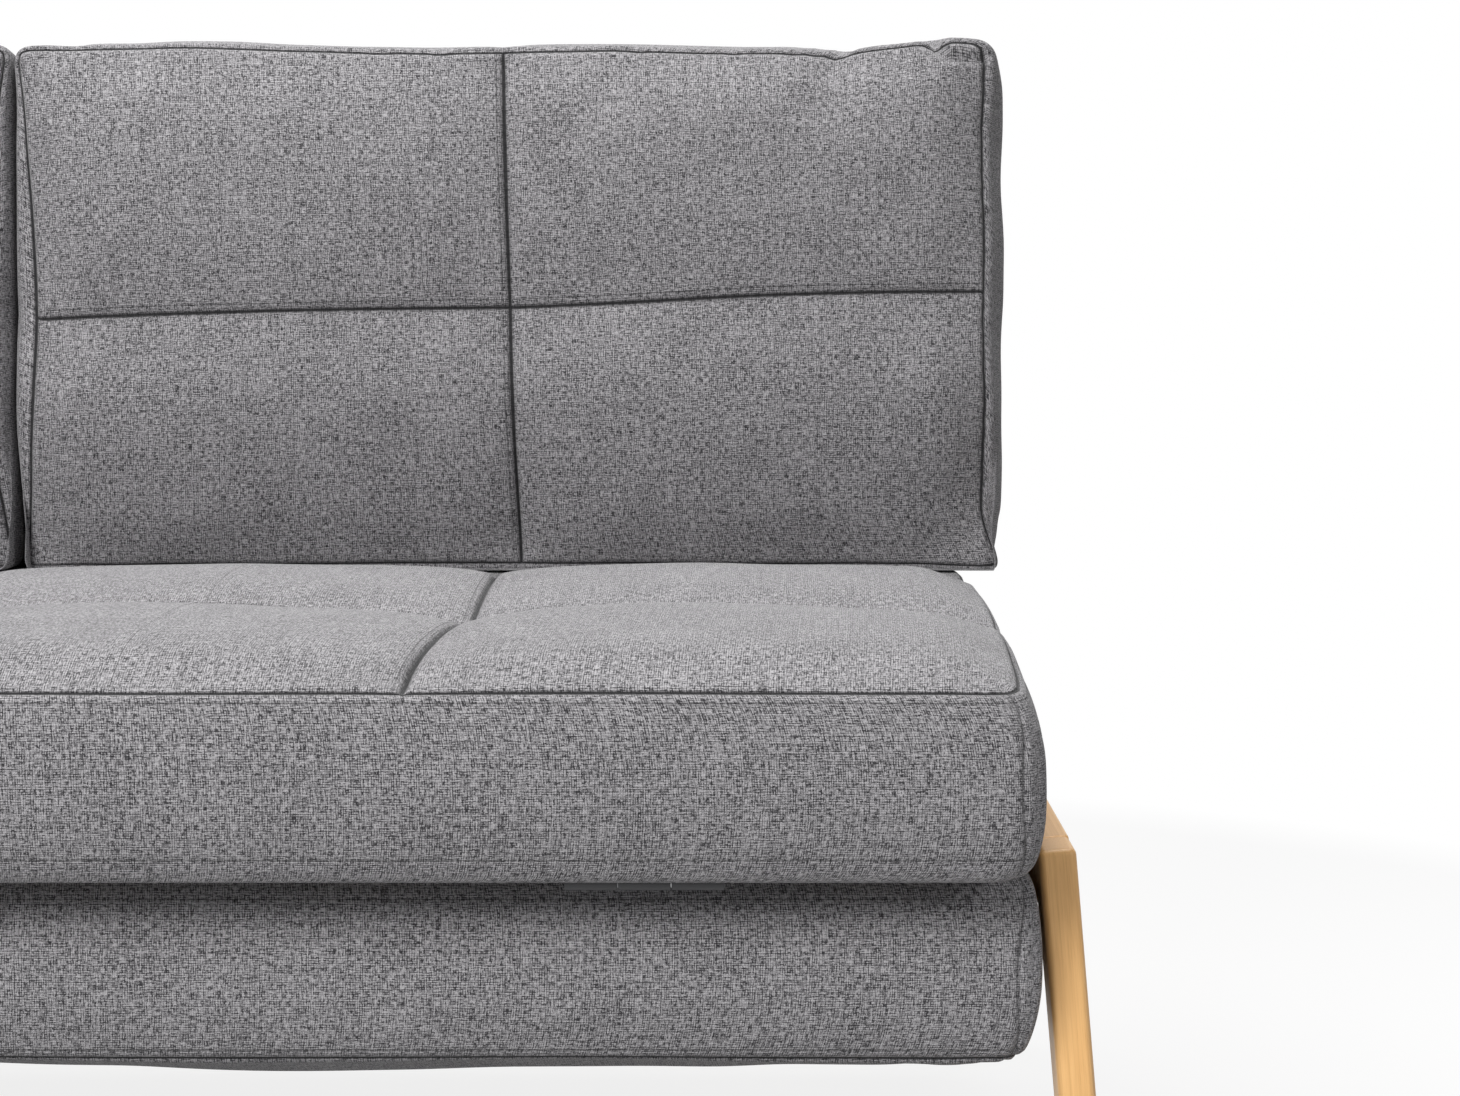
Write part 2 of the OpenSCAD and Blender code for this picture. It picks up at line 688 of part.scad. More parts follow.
// The back section's lowest sleeping-side corner when it is upright
foot_y = axle_y + (back_near_y - axle_y) * cos(turn) - (seat_seam_z - axle_z) * sin(turn);
foot_z = axle_z + (back_near_y - axle_y) * sin(turn) + (seat_seam_z - axle_z) * cos(turn);
// Distance up the lean at which the front seam meets the seat
cushion_t0 = (seat_rest_z - foot_z - (rear_seam_n + cushion_t) * sin(back_lean)) / cos(back_lean) - 4;

function on_back(x, t, n) = [x, foot_y + t * sin(back_lean) - n * cos(back_lean),
    foot_z + t * cos(back_lean) + n * sin(back_lean)];

// The cushion's underside is flat on the seat, and clears the back section when that lies flat
seat_end = seat_y + seat_len;
flat_back_top = seat_seam_z + channel_rise + panel_puff + 2;
function rested(p) = [p[0], p[1], max(p[2], seat_rest_z
    + (flat_back_top - seat_rest_z) * ease((p[1] - seat_end + 20) / 44))];

cushion_across = 8;
cushion_up = 6;
cushion_levels = [0.05, 0.18, 0.5, 0.82, 0.95];
module back_cushion(side) {
    columns = [0, cushion_w / 2, cushion_w];
    rows = [0, cushion_h * 0.5, cushion_h];
    xs = grid_lines(columns, [cushion_across, cushion_across]);
    us = grid_lines(rows, [cushion_up, cushion_up]);
    n = len(xs) - 1;
    m = len(us) - 1;
    walk = edge_walk(n, m);
    count = len(walk);
    // Outline with rounded corners, drawn in between them, s further out
    outline = function (x, u, s) let (
        p = rounded(x - cushion_w / 2, u, cushion_w / 2, cushion_h, cushion_corner),
        pull_x = cushion_pull * sin(180 * u / cushion_h),
        pull_u = cushion_pull * sin(180 * x / cushion_w),
        kx = (cushion_w / 2 - cushion_swell - pull_x + s) / (cushion_w / 2),
        ku = (cushion_h / 2 - cushion_swell - pull_u + s) / (cushion_h / 2))
        [cushion_w / 2 + p[0] * kx, cushion_h / 2 + (p[1] - cushion_h / 2) * ku];
    face = function (front) [for (j = [0 : m]) for (i = [0 : n]) let (
        p = outline(xs[i], us[j], 0),
        e = min(xs[i], cushion_w - xs[i], us[j], cushion_h - us[j]),
        crown = front ? cushion_crown : rear_crown,
        rise = quilt(arch(xs[i], columns), arch(us[j], rows), e, crown * 0.6, crown * 0.4),
        level = front ? rear_seam_n + cushion_t + rise : rear_seam_n - rise)
        rested(on_back(side * (cushion_gap / 2 + p[0]), cushion_t0 + p[1], level))];
    border = [for (t = cushion_levels) for (g = walk) let (
        p = outline(xs[g[0]], us[g[1]], cushion_swell * pow(sin(180 * t), cushion_round)))
        rested(on_back(side * (cushion_gap / 2 + p[0]), cushion_t0 + p[1],
            rear_seam_n + cushion_t * (1 - t)))];
    grid = (n + 1) * (m + 1);
    quads = [for (j = [0 : m - 1]) for (i = [0 : n - 1]) let (a = j * (n + 1) + i, b = a + n + 1)
        [a, a + 1, b + 1, b]];
    front_faces = [for (q = quads) each [[q[0], q[2], q[1]], [q[0], q[3], q[2]]]];
    rear_faces = [for (q = quads) each [[grid + q[0], grid + q[1], grid + q[2]],
        [grid + q[0], grid + q[2], grid + q[3]]]];
    front_ring = [for (g = walk) g[1] * (n + 1) + g[0]];
    rear_ring = [for (g = walk) grid + g[1] * (n + 1) + g[0]];
    rings = concat([front_ring], [for (k = [0 : len(cushion_levels) - 1])
        [for (i = [0 : count - 1]) 2 * grid + k * count + i]], [rear_ring]);
    ring_faces = [for (k = [0 : len(rings) - 2]) for (i = [0 : count - 1]) let (o = (i + 1) % count)
        each [[rings[k][i], rings[k][o], rings[k + 1][o]],
            [rings[k][i], rings[k + 1][o], rings[k + 1][i]]]];
    faces = concat(front_faces, rear_faces, ring_faces);
    flipped = [for (f = faces) [f[0], f[2], f[1]]];
    color(cloth) polyhedron(concat(face(true), face(false), border), side > 0 ? faces : flipped);
}

seat_rows = [0, seat_row, 2 * seat_row, seat_len];
wooden_leg(-1, front_top, front_foot);  // left_front_leg
wooden_leg(1, front_top, front_foot);  // right_front_leg
wooden_leg(-1, rear_top, rear_foot);  // left_rear_leg
wooden_leg(1, rear_top, rear_foot);  // right_rear_leg
side_rail(-1);  // left_side_rail
side_rail(1);  // right_side_rail
rear_axle();
axle_collars();
rear_stretcher();
stretcher_brackets();
floor_glides();
color(cloth) place_seat()  // seat_cover
    cover(half, seat_len, seat_rows, [5, 5, 3], pressed_depth);
color(foam) place_seat() foam_block(half, seat_len);  // seat_foam
color(steel) place_seat() frame_sides(half, seat_len);  // seat_frame_sides
color(steel) place_seat()  // seat_frame_crossbars
    frame_crossbars(half, seat_len);
color(birch) place_seat() slat_row(half, seat_len);  // seat_slats
color(plastic) place_seat() slat_cap_row(half, seat_len);  // seat_slat_caps
color(zinc) seat_arm(-1);  // left_seat_arm
color(zinc) seat_arm(1);  // right_seat_arm
seat_rest_tabs();
rest_pads();
seat_hinge_leaves();
hinge_pins();
color(cloth) place_front()  // front_cover
    cover(half, front_len, [0, front_len / 2, front_len], [5, 5], 0, front_swell, front_round, front_panels);
color(foam) place_front() foam_block(half, front_len);  // front_foam
color(steel) place_front() frame_sides(half, front_len);  // front_frame_sides
color(steel) place_front()  // front_frame_crossbars
    frame_crossbars(half, front_len);
color(birch) place_front() slat_row(half, front_len);  // front_slats
color(plastic) place_front() slat_cap_row(half, front_len);  // front_slat_caps
front_hinge_leaves();
color(steel) place_front() leg_brackets(front_len);  // front_leg_brackets
color(zinc) place_front() leg_pins(front_len);  // front_leg_pins
color(steel) place_front() leg_uprights(front_len);  // front_leg_uprights
color(steel) place_front() leg_spreader(front_len);  // front_leg_spreader
color(rubber) place_front() leg_feet(front_len);  // front_leg_feet
color(cloth) place_back()  // back_cover
    cover(back_half, back_len, [0, back_len / 2, back_len], [5, 5], 0);
color(foam) place_back() foam_block(back_half, back_len);  // back_foam
color(steel) place_back() frame_sides(back_half, back_len);  // back_frame_sides
color(steel) place_back()  // back_frame_crossbars
    frame_crossbars(back_half, back_len);
color(birch) place_back() slat_row(back_half, back_len);  // back_slats
color(plastic) place_back() slat_cap_row(back_half, back_len);  // back_slat_caps
back_axle_ears();
color(steel) place_back() leg_brackets(back_len);  // back_leg_brackets
color(zinc) place_back() leg_pins(back_len);  // back_leg_pins
color(steel) place_back() leg_uprights(back_len);  // back_leg_uprights
color(steel) place_back() leg_spreader(back_len);  // back_leg_spreader
color(rubber) place_back() leg_feet(back_len);  // back_leg_feet
back_cushion(-1);  // left_back_cushion
back_cushion(1);  // right_back_cushion
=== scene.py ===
"""Dresses a three-section sofa bed: quilted covers, back cushions, oak side frames, mechanism and studio."""

import json
import math

import bmesh
import bpy
import numpy as np
from bpy.props import FloatProperty, FloatVectorProperty, IntProperty, PointerProperty
from mathutils import Matrix, Vector


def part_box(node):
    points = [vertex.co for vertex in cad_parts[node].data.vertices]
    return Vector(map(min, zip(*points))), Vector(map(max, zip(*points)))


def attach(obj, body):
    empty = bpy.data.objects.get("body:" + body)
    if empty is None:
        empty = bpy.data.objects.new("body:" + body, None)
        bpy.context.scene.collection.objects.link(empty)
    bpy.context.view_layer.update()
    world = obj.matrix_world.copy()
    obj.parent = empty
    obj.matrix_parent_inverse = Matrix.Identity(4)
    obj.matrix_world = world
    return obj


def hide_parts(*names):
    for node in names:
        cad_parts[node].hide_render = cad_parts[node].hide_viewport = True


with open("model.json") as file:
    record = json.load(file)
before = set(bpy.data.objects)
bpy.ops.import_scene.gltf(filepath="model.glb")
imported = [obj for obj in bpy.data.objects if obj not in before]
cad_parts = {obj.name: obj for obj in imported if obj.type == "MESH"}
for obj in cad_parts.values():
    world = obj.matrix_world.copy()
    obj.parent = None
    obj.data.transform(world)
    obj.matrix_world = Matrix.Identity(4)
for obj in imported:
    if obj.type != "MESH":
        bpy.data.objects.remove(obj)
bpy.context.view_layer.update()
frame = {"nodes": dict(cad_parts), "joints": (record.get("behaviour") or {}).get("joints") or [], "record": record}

bl_info = {
    "name": "Sofa bed",
    "version": (1, 0, 0),
    "blender": (4, 5, 0),
    "location": "3D View > Sidebar > Sofa bed",
    "description": "Upholstery, oak side frames, mechanism and studio of a folding sofa bed",
    "category": "Object",
}

# Sizes are in metres, angles in degrees. A size that ends in IN says how far the cloth is drawn in.

# Quilted sections. LINES are numbers of grid lines, a ROUND of 1 is an arc and a lower one is fuller.
BORDER_H = 0.109
SECTION_CORNER_R = 0.020
SQUARE_CORNER_R = 0.014
COVER_T = 0.006
PANELS = 4
FRONT_PANELS = 2
SEAT_ROW = 0.302
SHORT_ROW = 0.200
CHANNEL_RISE = 0.013
PANEL_PUFF = 0.007
EDGE_SOFT = 0.045
BORDER_LINES = 22
ROW_END_ZONE = 0.03

# Borders of the sections
SEWN_IN = 0.004
END_SEAM_IN = 0.006
SIDE_HEM_IN = 0.021
END_HEM_IN = 0.014
SIDE_SWELL = 0.0035
FRONT_SWELL = 0.0015
END_SWELL = 0.002
COVER_START = 0.003
SIDE_ROUND = 0.22
FRONT_ROUND = 0.4
END_ROUND = 0.7
CORNER_PULL = 0.002
CORNER_PULL_REACH = 0.045
ROW_NOTCH = 0.003
SEAM_BOW = 0.003

# The seat is narrower at its front end, and pressed flat under the cushions
SEAT_WIDER = 0.004
SEAT_TAPER = 0.010
TAPER_FROM = 0.06
TAPER_RUN = 0.28
TUFT_SHIFT = 0.008
PRESSED_DEPTH = 0.165
PRESSED_EASE = 0.06
PRESSED_FLAT = 0.85
PRESSED_PUFF = 0.15
PRESSED_SLOPE = 0.02
PRESSED_LEAST = 0.02

# The front section is plump beside the legs
PLUMP_SWELL = 0.0012
PLUMP_ROUND = 0.13
PLUMP_REACH = 0.34
PLUMP_EASE = 0.04

# Seams: what a cover and a cushion are drawn in by, as layer, axis, side of the topstitching and strength
TOP_STITCH = 0.0066
HEM_STITCH = 0.014
CORNER_SEAM_IN = 0.013
CORNER_SEAM_TOP = 0.3
COVER_SEAMS = (("seams", 0, -1, 1.0), ("seams", 1, 1, 1.0), ("seams", 2, 0, 0.55), ("edges", 0, 0, 0.4))
CUSHION_SEAMS = (("seams", 0, -1, 1.0), ("seams", 1, 1, 1.0), ("seams", 2, 0, 0.7))
DOUBLED_RISE = 0.40
DOUBLED_MIDDLE = 0.5
DOUBLED_WIDTH = 0.42

# How the cloth swells: how firmly its seams and hinged ends hold still, the share of the pressed part that
# does, how often the movement is evened out, and the settings of the simulation
SEAM_HOLD = 0.95
HINGE_HOLD = 0.9
PRESSED_HOLD = 0.8
STEP_ROUNDS = 6
CLOTH_SETTINGS = {
    "quality": 4,
    "mass": 0.4,
    "tension_stiffness": 25.0,
    "compression_stiffness": 25.0,
    "shear_stiffness": 12.0,
    "bending_stiffness": 2.0,
    "vertex_group_mass": "pins",
    "pin_stiffness": 1.0,
    "use_pressure": True,
}

# Soft waves of the surfaces: height, wavelength and seed
COVER_WAVES = ((0.0012, 0.16, 11),)
FOAM_WAVES = ((0.0016, 0.12, 5), (0.0007, 0.03, 6))
CUSHION_WAVES = ((0.0011, 0.14, 21), (0.0004, 0.05, 22))

# Folds: places inwards from the corner, half width and depth
COVER_FOLD = (((0.034, 0.028), (0.006, 0.006)), 0.0030, 0.0022)
CORNER_FOLD = (((0.052, 0.026, 0.0), (0.038, 0.0, 0.0), (0.027, 0.0, 0.012), (0.003, 0.0, 0.010)),
               0.0050, 0.0090)
# The second fold's places across are shares of the cushion's width
TOP_FOLD = (((0.85, 0.030, 0.0), (0.845, 0.0, 0.0), (0.84, 0.0, 0.022)), 0.0060, 0.0030)
GATHERS = 22
GATHER_SEED = 40
GATHER_REACH = (0.012, 0.030)
GATHER_DEPTH = (0.0004, 0.0011)
GATHER_WIDTH = (0.003, 0.006)
GATHER_END = 0.03

# Foam blocks
FOAM_BOTTOM = 0.043
FOAM_TOP = 0.101
FOAM_ROOM = 0.0005
FOAM_LINES = (64, 32, 6)
FOAM_SHORT = 0.006
ROOF_SHORT = 0.004
FOAM_SOFT = 0.012
FOAM_SAG = 0.0015
FOAM_EDGE_R = 0.004

# Back cushions
CUSHION_H = 0.404
CUSHION_T = 0.165
CUSHION_GAP = 0.003
CUSHION_SHIFT = -0.008
CUSHION_CORNER = 0.011
CUSHION_LINES = 28
CUSHION_ROUND = 0.22
CUSHION_SWELL = 0.009
CUSHION_START = 0.006
CUSHION_PULL = 0.003
END_PULL = 0.004
CUSHION_CROWN = 0.020
REAR_CROWN = 0.008
CROWN_ARCH = 0.6
CROWN_PUFF = 0.4
START_LOW = 0.004
ROOM = 0.0003
SIDE_ROOM = 0.0005
FLAT_ROOM = 0.002
REST_FROM = 0.020
REST_RUN = 0.044
# Its inner border is drawn in, and its outer one ends slim at the foot
INNER_SEAM = 0.001
INNER_PULL = 0.020
INNER_ROUND = 0.12
SLIM_SHARE = 0.2
SLIM_REACH = 0.15
# Near its face the foot rolls back, and the seams bow
FACE_FROM = 0.80
FOOT_ROLL = 0.046
FOOT_ROLL_H = 0.16
FOOT_LIFT = 0.001
FOOT_LIFT_H = 0.10
ROW_DROOP = 0.017
OUTER_RISE = 0.0035
OUTER_FROM = 0.55
OUTER_RUN = 0.3
COLUMN_BOW = (0.0062, 0.0118)
# Waves of the top edge: place and half width as shares of the width, and height
TOP_WAVES = ((0.20, 0.13, 0.0040), (0.62, 0.12, 0.0022), (0.845, 0.022, -0.0035), (0.96, 0.06, 0.0060))
TOP_WAVES_FROM = 0.6
BACK_LEAN = 8.0

# Oak side frames
WOOD_T = 0.022
SPLAY = 4.8
RAKE = 5.0
LEG_SETBACK = 0.091
LEG_TOP_D = 0.042
LEG_FOOT_D = 0.032
LEG_EXTRA = 0.010
EDGE_R = 0.004
BOARD_EDGE_R = EDGE_R * 0.6
RAIL_H = 0.040
GLIDE_H = 0.003
# Where the boards' grain is taken from, so that no two look alike
REAR_LEG_GRAIN = 0.3
RAIL_GRAIN = 0.7

# Grid lines of the cut panels: their distances, how far they crowd towards a seam, and the fine end zone
COARSE = 0.0125
FINE = 0.0042
CROWDING = 0.8
EDGE_ZONE = 0.05

# FAR marks a point that no seam is near, ON the greatest distance of a point that lies on a line
FAR = 1.0
ON = 1e-6
TINY = 1e-9

joint_of = {joint["name"]: joint for joint in frame["joints"]}


def colour_property(name, description, default):
    """A colour that a user can change."""
    return FloatVectorProperty(name=name, description=description, subtype="COLOR", size=3, min=0.0, max=1.0,
                               default=default)


class SofaCloth(bpy.types.PropertyGroup):
    """Sizes and colours of the woven cloth."""

    thread: FloatProperty(
        name="Thread", description="Distance between two threads of the weave",
        default=0.0014, min=0.0005, max=0.004, unit="LENGTH")
    dark: colour_property("Dark yarn", "Colour of the darkest yarn", (0.030, 0.029, 0.032))
    light: colour_property("Light yarn", "Colour of the lightest yarn", (0.44, 0.428, 0.442))
    # The seam colour is painted shade: the near-black the cloth is darkened to in the grooves of its seams and the
    # dents of its topstitching.
    seam: colour_property("Seam", "Colour in the groove of a seam", (0.012, 0.012, 0.013))
    relief: FloatProperty(
        name="Relief", description="Height of a thread over the gaps beside it",
        default=0.00035, min=0.0, max=0.001, unit="LENGTH")
    strip: FloatProperty(
        name="Topstitch", description="Distance of the topstitching from its seam",
        default=0.005, min=0.002, max=0.012, unit="LENGTH")
    stitch: FloatProperty(
        name="Stitch", description="Length of one stitch",
        default=0.0042, min=0.002, max=0.008, unit="LENGTH")


class SofaPadding(bpy.types.PropertyGroup):
    """How the padded pieces swell when they are simulated."""

    pressure: FloatProperty(
        name="Pressure", description="Pressure of the filling on the cloth",
        default=4.0, min=0.0, max=20.0)
    slack: FloatProperty(
        name="Slack", description="How much larger the cloth is cut than the padding",
        default=0.008, min=0.0, max=0.1, subtype="FACTOR")
    cover_move: FloatProperty(
        name="Cover movement", description="Farthest that a point of a cover may move",
        default=0.004, min=0.0, max=0.03, unit="LENGTH")
    cushion_move: FloatProperty(
        name="Cushion movement", description="Farthest that a point of a cushion may move",
        default=0.006, min=0.0, max=0.03, unit="LENGTH")
    seam_depth: FloatProperty(
        name="Seam depth", description="How deep a seam is drawn into the padding",
        default=0.0036, min=0.0, max=0.01, unit="LENGTH")
    seam_width: FloatProperty(
        name="Seam width", description="Half width of the groove of a seam",
        default=0.0025, min=0.001, max=0.01, unit="LENGTH")
    last_frame: IntProperty(
        name="Frames", description="Number of simulated frames", default=20, min=1, max=60)


class SofaWood(bpy.types.PropertyGroup):
    """Colours of the woods."""

    oak_light: colour_property("Oak, light", "Colour of the early wood", (0.95, 0.57, 0.235))
    oak_dark: colour_property("Oak, dark", "Colour of the late wood and pores", (0.72, 0.38, 0.13))
    birch_light: colour_property("Birch, light", "Colour of the slats", (0.70, 0.52, 0.32))
    birch_dark: colour_property("Birch, dark", "Colour of the slats' grain", (0.52, 0.34, 0.18))


class SofaStudio(bpy.types.PropertyGroup):
    """Camera, floor and light."""

    camera_place: FloatVectorProperty(
        name="Camera", description="Place of the camera", subtype="TRANSLATION",
        size=3, default=(0.524, -2.195, 0.675))
    pitch: FloatProperty(
        name="Pitch", description="How far the camera looks down, in degrees", default=5.467)
    lens: FloatProperty(
        name="Lens", description="Focal length in millimetres", default=78.1, min=10.0, max=300.0)
    floor_tone: colour_property("Floor", "Colour of the floor as it lights the sofa", (0.30, 0.30, 0.30))
    floor_seen: colour_property("Seen floor", "Colour of the floor in the picture", (0.92, 0.92, 0.92))
    key: FloatProperty(
        name="Key light", description="Power of the key softbox in watts", default=144.0, min=0.0)
    fill: FloatProperty(
        name="Fill light", description="Strength of the light from all round", default=0.03, min=0.0)


# Shader helpers


def put(tree, kind, settings=None, **inputs):
    """Adds a shader node, sets its options, and fills its inputs with values or other nodes' outputs."""
    node = tree.nodes.new(kind)
    for name, value in (settings or {}).items():
        setattr(node, name, value)
    for name, value in inputs.items():
        socket = node.inputs[name.replace("_", " ")]
        if isinstance(value, bpy.types.NodeSocket):
            tree.links.new(value, socket)
        else:
            socket.default_value = value
    return node


def calc(tree, operation, *values):
    """Output of a Math node on numbers or sockets."""
    node = tree.nodes.new("ShaderNodeMath")
    node.operation = operation
    for socket, value in zip(node.inputs, values):
        if isinstance(value, bpy.types.NodeSocket):
            tree.links.new(value, socket)
        else:
            socket.default_value = value
    return node.outputs[0]


def joined(tree, x, y):
    """A vector of two numbers or sockets."""
    return put(tree, "ShaderNodeCombineXYZ", X=x, Y=y).outputs[0]


def times(tree, a, b):
    """Product of two numbers or sockets."""
    return calc(tree, "MULTIPLY", a, b)


def mixed_in(tree, value, gain, base):
    """A value times its gain, added to a base."""
    return calc(tree, "MULTIPLY_ADD", value, gain, base)


def varied(tree, value, middle, gain, base):
    """A base, more where a value is over its middle and less where it is under it."""
    return mixed_in(tree, calc(tree, "SUBTRACT", value, middle), gain, base)


def most(tree, values):
    """The greatest of some sockets."""
    top = values[0]
    for value in values[1:]:
        top = calc(tree, "MAXIMUM", top, value)
    return top


def parts_of(tree, vector):
    """X, Y and Z of a vector socket."""
    return put(tree, "ShaderNodeSeparateXYZ", Vector=vector).outputs


def stored(tree, name):
    """A vector that is stored on the mesh."""
    return put(tree, "ShaderNodeAttribute", {"attribute_name": name}).outputs["Vector"]


def object_place(tree):
    """Place of the shaded point on its object."""
    return put(tree, "ShaderNodeTexCoord").outputs["Object"]


def scaled_place(tree, vector, scale):
    """A place stretched along its axes."""
    node = put(tree, "ShaderNodeMapping", Vector=vector)
    node.inputs["Scale"].default_value = scale
    return node.outputs[0]


def in_picture(tree):
    """1 where the camera or a reflection sees the surface, 0 for the light that it casts."""
    path = tree.nodes.new("ShaderNodeLightPath")
    kinds = ("Is Camera Ray", "Is Glossy Ray", "Is Transmission Ray")
    return most(tree, [path.outputs[kind] for kind in kinds])


def noise_at(tree, vector, scale, detail=2.0, roughness=0.5):
    """Output of a noise texture, from 0 to 1."""
    node = put(tree, "ShaderNodeTexNoise", Vector=vector, Scale=scale, Detail=detail, Roughness=roughness)
    return node.outputs["Fac"]


def tone(tree, factor, dark, light):
    """A colour between two, mixed by a socket."""
    node = tree.nodes.new("ShaderNodeMix")
    node.data_type = "RGBA"
    tree.links.new(factor, node.inputs["Factor"])
    for socket, colour in ((node.inputs[6], dark), (node.inputs[7], light)):
        if isinstance(colour, bpy.types.NodeSocket):
            tree.links.new(colour, socket)
        else:
            socket.default_value = (*colour[:3], 1.0)
    return node.outputs[2]


def blank(name):
    """A new material with an empty tree."""
    material = bpy.data.materials.new(name)
    material.use_nodes = True
    material.node_tree.nodes.clear()
    return material, material.node_tree


def shown_on(tree, shader, output="ShaderNodeOutputMaterial"):
    """Ends a tree in a shader."""
    end = tree.nodes.new(output)
    tree.links.new(shader.outputs[0], end.inputs["Surface"])


def surface(tree, colour, roughness, height, **values):
    """Ends a material in a Principled shader, with a bump from a height in metres."""
    shader = put(tree, "ShaderNodeBsdfPrincipled", Roughness=roughness, **values)
    tree.links.new(colour, shader.inputs["Base Color"])
    bump = put(tree, "ShaderNodeBump", Height=height, Distance=1.0, Strength=1.0)
    tree.links.new(bump.outputs["Normal"], shader.inputs["Normal"])
    shown_on(tree, shader)


def crease(tree, distance, centre, width):
    """1 on a line at a signed distance from a seam, falling to 0 beside it."""
    off = calc(tree, "DIVIDE", calc(tree, "SUBTRACT", distance, centre), width)
    return calc(tree, "EXPONENT", times(tree, times(tree, off, off), -1.0))


def stitched(tree, line, along, stitch):
    """Breaks a line up into stitches along a coordinate."""
    wave = calc(tree, "SINE", times(tree, along, 2 * math.pi / stitch))
    dip = 0.30
    return times(tree, line, mixed_in(tree, wave, dip, 1.0 - dip))


# Materials


def yarns(tree, x, y, look):
    """Mottle of the weave, with painted shade in the gaps between threads, and its height, at a place counted in
    threads.
    """
    plain = {"noise_dimensions": "2D"}

    def streaks(across, along, seed):
        place = joined(tree, mixed_in(tree, x, across, seed), times(tree, y, along))
        return put(tree, "ShaderNodeTexNoise", plain, Vector=place, Scale=1.0, Detail=1.0).outputs["Fac"]

    # Yarns change over half a thread across and four along, slubs over one and thirty
    fine, long = 2.1, 0.28
    slub_fine, slub_long = 1.1, 0.03
    knot, cloud_size = 1.5, 0.03
    warp, weft = streaks(fine, long, 0.0), streaks(long, fine, 31.7)
    slub = calc(tree, "ADD", streaks(slub_fine, slub_long, 91.1), streaks(slub_long, slub_fine, 77.9))
    knots = streaks(knot, knot, 57.3)
    cloud = streaks(cloud_size, cloud_size, 13.9)
    sines = [calc(tree, "SINE", times(tree, way, math.pi)) for way in (x, y)]
    weave = times(tree, *sines)
    over = mixed_in(tree, weave, 0.5, 0.5)
    shown = calc(tree, "ADD", times(tree, over, warp), times(tree, calc(tree, "SUBTRACT", 1.0, over), weft))
    hump = calc(tree, "ABSOLUTE", weave)
    contrast, tone_middle, gap_painted_shade_gain, slub_gain, knot_gain, cloud_gain = 3.4, 0.26, 0.50, 0.50, 0.35, 0.14
    mottle = varied(tree, shown, 0.5, contrast, tone_middle)
    # Painted shade: the crowns of the threads are lighter and the gaps between them darker.
    mottle = mixed_in(tree, hump, gap_painted_shade_gain, mottle)
    mottle = varied(tree, slub, 1.0, slub_gain, mottle)
    mottle = varied(tree, knots, 0.5, knot_gain, mottle)
    mottle = varied(tree, cloud, 0.5, cloud_gain, mottle)
    yarn_part, hump_part = 0.7, 0.5
    height = mixed_in(tree, shown, yarn_part, times(tree, hump, hump_part))
    return mottle, times(tree, height, look.relief)


def cloth_material(look):
    """Plain weave of mottled grey yarns on the weave map, with its seams and topstitching sunk in and darkened
    with painted shade.
    """
    material, tree = blank("grey_cloth")
    weave = put(tree, "ShaderNodeUVMap", {"uv_map": "weave"}).outputs[0]
    threads = put(tree, "ShaderNodeVectorMath", {"operation": "SCALE"}, Scale=1.0 / look.thread)
    tree.links.new(weave, threads.inputs[0])
    across = parts_of(tree, threads.outputs[0])
    mottle, relief = yarns(tree, across[0], across[1], look)
    colour = tone(tree, mottle, look.dark, look.light)

    by = parts_of(tree, stored(tree, "seams"))
    at = parts_of(tree, stored(tree, "edges"))
    flat = parts_of(tree, weave)
    groove_w, stitch_w, corner_share = 0.0010, 0.0007, 0.35
    grooves = [crease(tree, by[axis], 0.0, groove_w) for axis in range(3)]
    grooves.append(times(tree, crease(tree, at[0], 0.0, groove_w), corner_share))
    rows = [
        (by[0], -look.strip, flat[1]), (by[1], look.strip, flat[0]),
        (at[1], 0.0, flat[0]), (at[2], 0.0, flat[0]),
    ]
    stitches = [stitched(tree, crease(tree, line, place, stitch_w), along, look.stitch)
                for line, place, along in rows]
    # The grooves of the seams and the dents of the stitches are sunk in the bump and darkened towards the seam
    # colour: painted shade.
    groove_painted_shade, stitch_painted_shade, darkest, groove_depth = 1.5, 0.55, 0.94, 0.0012
    groove = calc(tree, "MINIMUM", times(tree, most(tree, grooves), groove_painted_shade), 1.0)
    sunk = calc(tree, "MAXIMUM", groove, times(tree, most(tree, stitches), stitch_painted_shade))
    shade = calc(tree, "SUBTRACT", 1.0, times(tree, sunk, darkest))
    colour = tone(tree, shade, look.seam, colour)
    surface(tree, colour, 0.92, mixed_in(tree, sunk, -groove_depth, relief),
            Sheen_Weight=0.22, Sheen_Roughness=0.45, Specular_IOR_Level=0.25)
    return material


